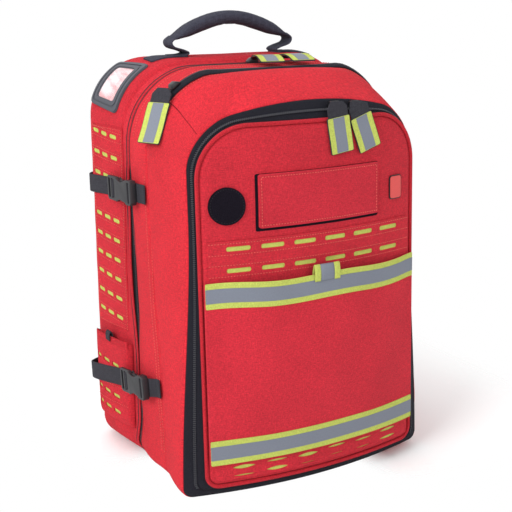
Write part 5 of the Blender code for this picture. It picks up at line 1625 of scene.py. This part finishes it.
def stitching():
    lid = []
    reach = MOLLE_HALF - 0.0015
    surface = on_lid(GAP + SLOT_CLOTH + 0.0001)
    for z in FRONT_SLOT_ROWS:
        for offset in (-0.0062, 0.0062):
            lid.append(seam(surface, [(-reach, z + offset), (reach, z + offset)]))
    keep(sewn("lid_stitches", lid, red_thread, 0.0034, 0.0026, 0.0010, 0.0009), "front_lid", "red_fabric")
    bright = []
    surface = on_pocket(POCKET_T + 0.0008)
    half = POCKET_HALF - 0.002
    for v in (POCKET_BOTTOM + 0.0012, POCKET_BOTTOM + TAPE_HEIGHT - 0.0016, POCKET_TOP - TAPE_HEIGHT + 0.0016,
              POCKET_TOP - 0.0016):
        bright.append(seam(surface, [(-half, v), (half, v)]))
    keep(sewn("tape_stitches", bright, lime_thread, 0.0032, 0.0024, 0.0006, 0.0005), "front_lid", "reflective_tape")
    flap = [seam(on_lid(GAP + 0.0025), box_line(*NAME_BOX, 0.003))]
    keep(sewn("flap_stitches", flap, red_thread, 0.0034, 0.0026, 0.0010, 0.0009), "name_flap", "red_fabric")
    x, z, radius = PATCH
    ring = arc((x, z), radius - 0.002, 0, 2 * math.pi, 40)
    keep(sewn("patch_stitches", [seam(on_lid(0.0018), ring)], black_thread, 0.003, 0.0022, 0.0007, 0.0006), "front_lid",
         "black_fabric")
    rear = []
    for side in (-1, 1):
        surface = on_rear_side(side, GAP + SLOT_CLOTH + 0.0001)
        rear.append(seam(surface, box_line(*SIDE_MOLLE_Y, *SIDE_MOLLE_Z, 0.002)))
        y0, y1 = SIDE_MOLLE_Y
        for z in SIDE_ROWS:
            for offset in (-0.0055, 0.0055):
                ends = [(y, side_row(z + offset, y)) for y in (y0 + 0.003, y1 - 0.003)]
                rear.append(seam(surface, ends))
        y0, y1 = SIDE_POCKET_Y
        for z in (0.105, 0.088, 0.066):
            rear.append(seam(on_side_pocket(side, 0.0026), [(y0 + 0.004, z), (y1 - 0.004, z)]))
    keep(sewn("rear_stitches", rear, red_thread, 0.0034, 0.0026, 0.0010, 0.0009), "rear_section", "red_fabric")
    middle = []
    for y in (-0.0445, -0.0155, 0.0190):
        ring = main_ring(y)
        high = main_ring(y, 0.002)
        first = CORNER_START + 2
        line = []
        for i in range(first, RING - first + 1):
            normal = (high[i] - ring[i]).normalized()
            line.append((ring[i] + normal * (main_relief(*ring[i]) + 0.0002), normal))
        middle.append(line)
    for side in (-1, 1):
        for shift in (-0.0045, 0.0045):
            middle.append(side_seam_line(side, shift))
    keep(sewn("main_stitches", middle, red_thread, 0.0034, 0.0026, 0.0010, 0.0009), "main_section", "red_fabric")


# Painted shade: a line of very dark red beads along each mitre seam stands for the shadow in its groove
def mitre_seam_shade():
    lines = [mitre_line(side) for side in (-1, 1)]
    keep(sewn("mitre_seam_shade", lines, shaded_red, 0.0012, 0.0019, 0.0013, 0.0006), "main_section", "red_fabric")


# Cloth across the two folds

def fold_strips():
    half = SPLIT_HALF - BOTTOM_RADIUS
    span = every(-half, half, 0.01)
    rows = [[Vector((x, y, z)) for x in span] for y, z in ((0.019, 0.0047), (0.027, 0.0044), (0.032, 0.0040),
                                                          (0.035, 0.0038), (0.038, 0.0040), (0.043, 0.0044),
                                                          (0.051, 0.0047))]
    strip = thicken(grid("main_fold_cloth", rows, [zip_cloth]), 0.0010)
    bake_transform(strip)
    half = LID_HALF - LID_BOTTOM_RADIUS
    rows = []
    for share in every(0.25, 0.75, 0.05):
        y = LID_EDGE_Y + (RIM_Y - LID_EDGE_Y) * share
        z = LID_BOTTOM + (RIM_BOTTOM - LID_BOTTOM) * share
        rows.append([bowed(x, y, z - 0.0004) for x in every(-half, half, 0.01)])
    strip = thicken(grid("lid_fold_cloth", rows, [zip_cloth]), 0.0010)
    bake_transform(strip)


rear_cover()
back_panel()
frame_sheet()
base_panels()
window()
main_zip()
for side, tag in ((-1, "left"), (1, "right")):
    side_panels(side, tag)
    shoulder_strap(side, tag)
    for level in STRAP_Z:
        compression_strap(side, tag, level)
handle()
back_pad()
main_cover()
divider()
top_zip()
front_zip()
lid_cover()
front_slots()
front_pocket()
lid_trim()
sliders_and_pulls()
stitching()
mitre_seam_shade()
fold_strips()


# Camera, floor and light

def camera():
    turn, rise, roll = math.radians(-29.8889), math.radians(14.8074), math.radians(-0.2498)
    back = Vector((math.sin(turn) * math.cos(rise), -math.cos(turn) * math.cos(rise), math.sin(rise)))
    right = Vector((math.cos(turn), math.sin(turn), 0))
    up = back.cross(right)
    x = right * math.cos(roll) + up * math.sin(roll)
    y = up * math.cos(roll) - right * math.sin(roll)
    data = bpy.data.cameras.new("camera")
    data.lens = 74.32
    data.sensor_width = 36
    view = bpy.data.objects.new("camera", data)
    SCENE.collection.objects.link(view)
    view.matrix_world = Matrix.Translation((-0.6365, -1.0922, 0.5816)) @ Matrix((x, y, back)).transposed().to_4x4()
    SCENE.camera = view


def seen_directly(tree):
    """1 where the camera looks, straight or in a mirror or through glass, and 0 where only light travels."""
    path = node(tree, "ShaderNodeLightPath").outputs
    mirrored = maths(tree, "MAXIMUM", path["Is Glossy Ray"], path["Is Transmission Ray"])
    return maths(tree, "MAXIMUM", path["Is Camera Ray"], mirrored)


# The floor shows behind the pack and on its right, which leaves the front section in sight when it hangs open below
FLOOR_STARTS = ((-0.17, 0.08, 0.0), (0.13, -0.14, 0.0))
FLOOR_END = (0.30, 0.25, 0.0)
FLOOR_FADE = (0.02, 0.16)
FRONT_FADE = (2.5, 2.5, 2.5)


def beyond(tree, start):
    """0 on the floor from its start corner to its end, rising to 1 outside them."""
    def vector(operation, a, b):
        return node(tree, "ShaderNodeVectorMath", {0: a, 1: b}, operation=operation).outputs["Vector"]

    place = coordinates(tree, "Object")
    behind = vector("MAXIMUM", vector("SUBTRACT", place, FLOOR_END), (0, 0, 0))
    ahead = vector("MAXIMUM", vector("SUBTRACT", start, place), (0, 0, 0))
    off = vector("ADD", behind, vector("MULTIPLY", ahead, FRONT_FADE))
    reach = node(tree, "ShaderNodeVectorMath", {0: off}, operation="LENGTH").outputs["Value"]
    limits = {"Value": reach, "From Min": FLOOR_FADE[0], "From Max": FLOOR_FADE[1]}
    return node(tree, "ShaderNodeMapRange", limits, interpolation_type="SMOOTHSTEP").outputs[0]


def floor():
    """White floor that keeps the shadow close to the pack and gives way to the white round it further off."""
    bm = bmesh.new()
    bmesh.ops.create_grid(bm, x_segments=1, y_segments=1, size=30)
    material, tree, shader = fresh("floor")
    shader.inputs["Base Color"].default_value = (0.95, 0.95, 0.95, 1)
    shader.inputs["Roughness"].default_value = 0.9
    shader.inputs["Specular IOR Level"].default_value = 0.0
    passing = node(tree, "ShaderNodeLightPath").outputs["Is Shadow Ray"]
    unseen = maths(tree, "MINIMUM", *[beyond(tree, start) for start in FLOOR_STARTS])
    share = maths(tree, "MULTIPLY", unseen, maths(tree, "MAXIMUM", seen_directly(tree), passing))
    clear = node(tree, "ShaderNodeBsdfTransparent")
    blend = node(tree, "ShaderNodeMixShader", {0: share, 1: shader.outputs[0], 2: clear.outputs[0]})
    tree.links.new(blend.outputs[0], tree.nodes["Material Output"].inputs["Surface"])
    piece_from("floor", bm, [material])


def sky():
    world = bpy.data.worlds.new("studio")
    world.use_nodes = True
    SCENE.world = world
    tree = world.node_tree
    light = tree.nodes["Background"]
    light.inputs["Color"].default_value = (1, 1, 1, 1)
    light.inputs["Strength"].default_value = 0.72
    white = node(tree, "ShaderNodeBackground", {"Color": (1, 1, 1, 1), "Strength": 1.0})
    blend = node(tree, "ShaderNodeMixShader", {0: seen_directly(tree), 1: light.outputs[0], 2: white.outputs[0]})
    tree.links.new(blend.outputs[0], tree.nodes["World Output"].inputs["Surface"])


LAMPS = (("key", (-2.0, -0.8, 1.5), 1.1, 40.0), ("front", (0.2, -2.3, 1.2), 1.6, 12.0), ("top", (-0.3, 0.3, 2.0), 1.4, 14.0))


def lamps():
    for name, place, size, power in LAMPS:
        data = bpy.data.lights.new(name, "AREA")
        data.energy = power
        data.size = size
        lamp = bpy.data.objects.new(name, data)
        SCENE.collection.objects.link(lamp)
        lamp.location = place
        lamp.rotation_euler = (Vector((0, 0, 0.25)) - Vector(place)).to_track_quat("-Z", "Y").to_euler()


camera()
floor()
sky()
lamps()
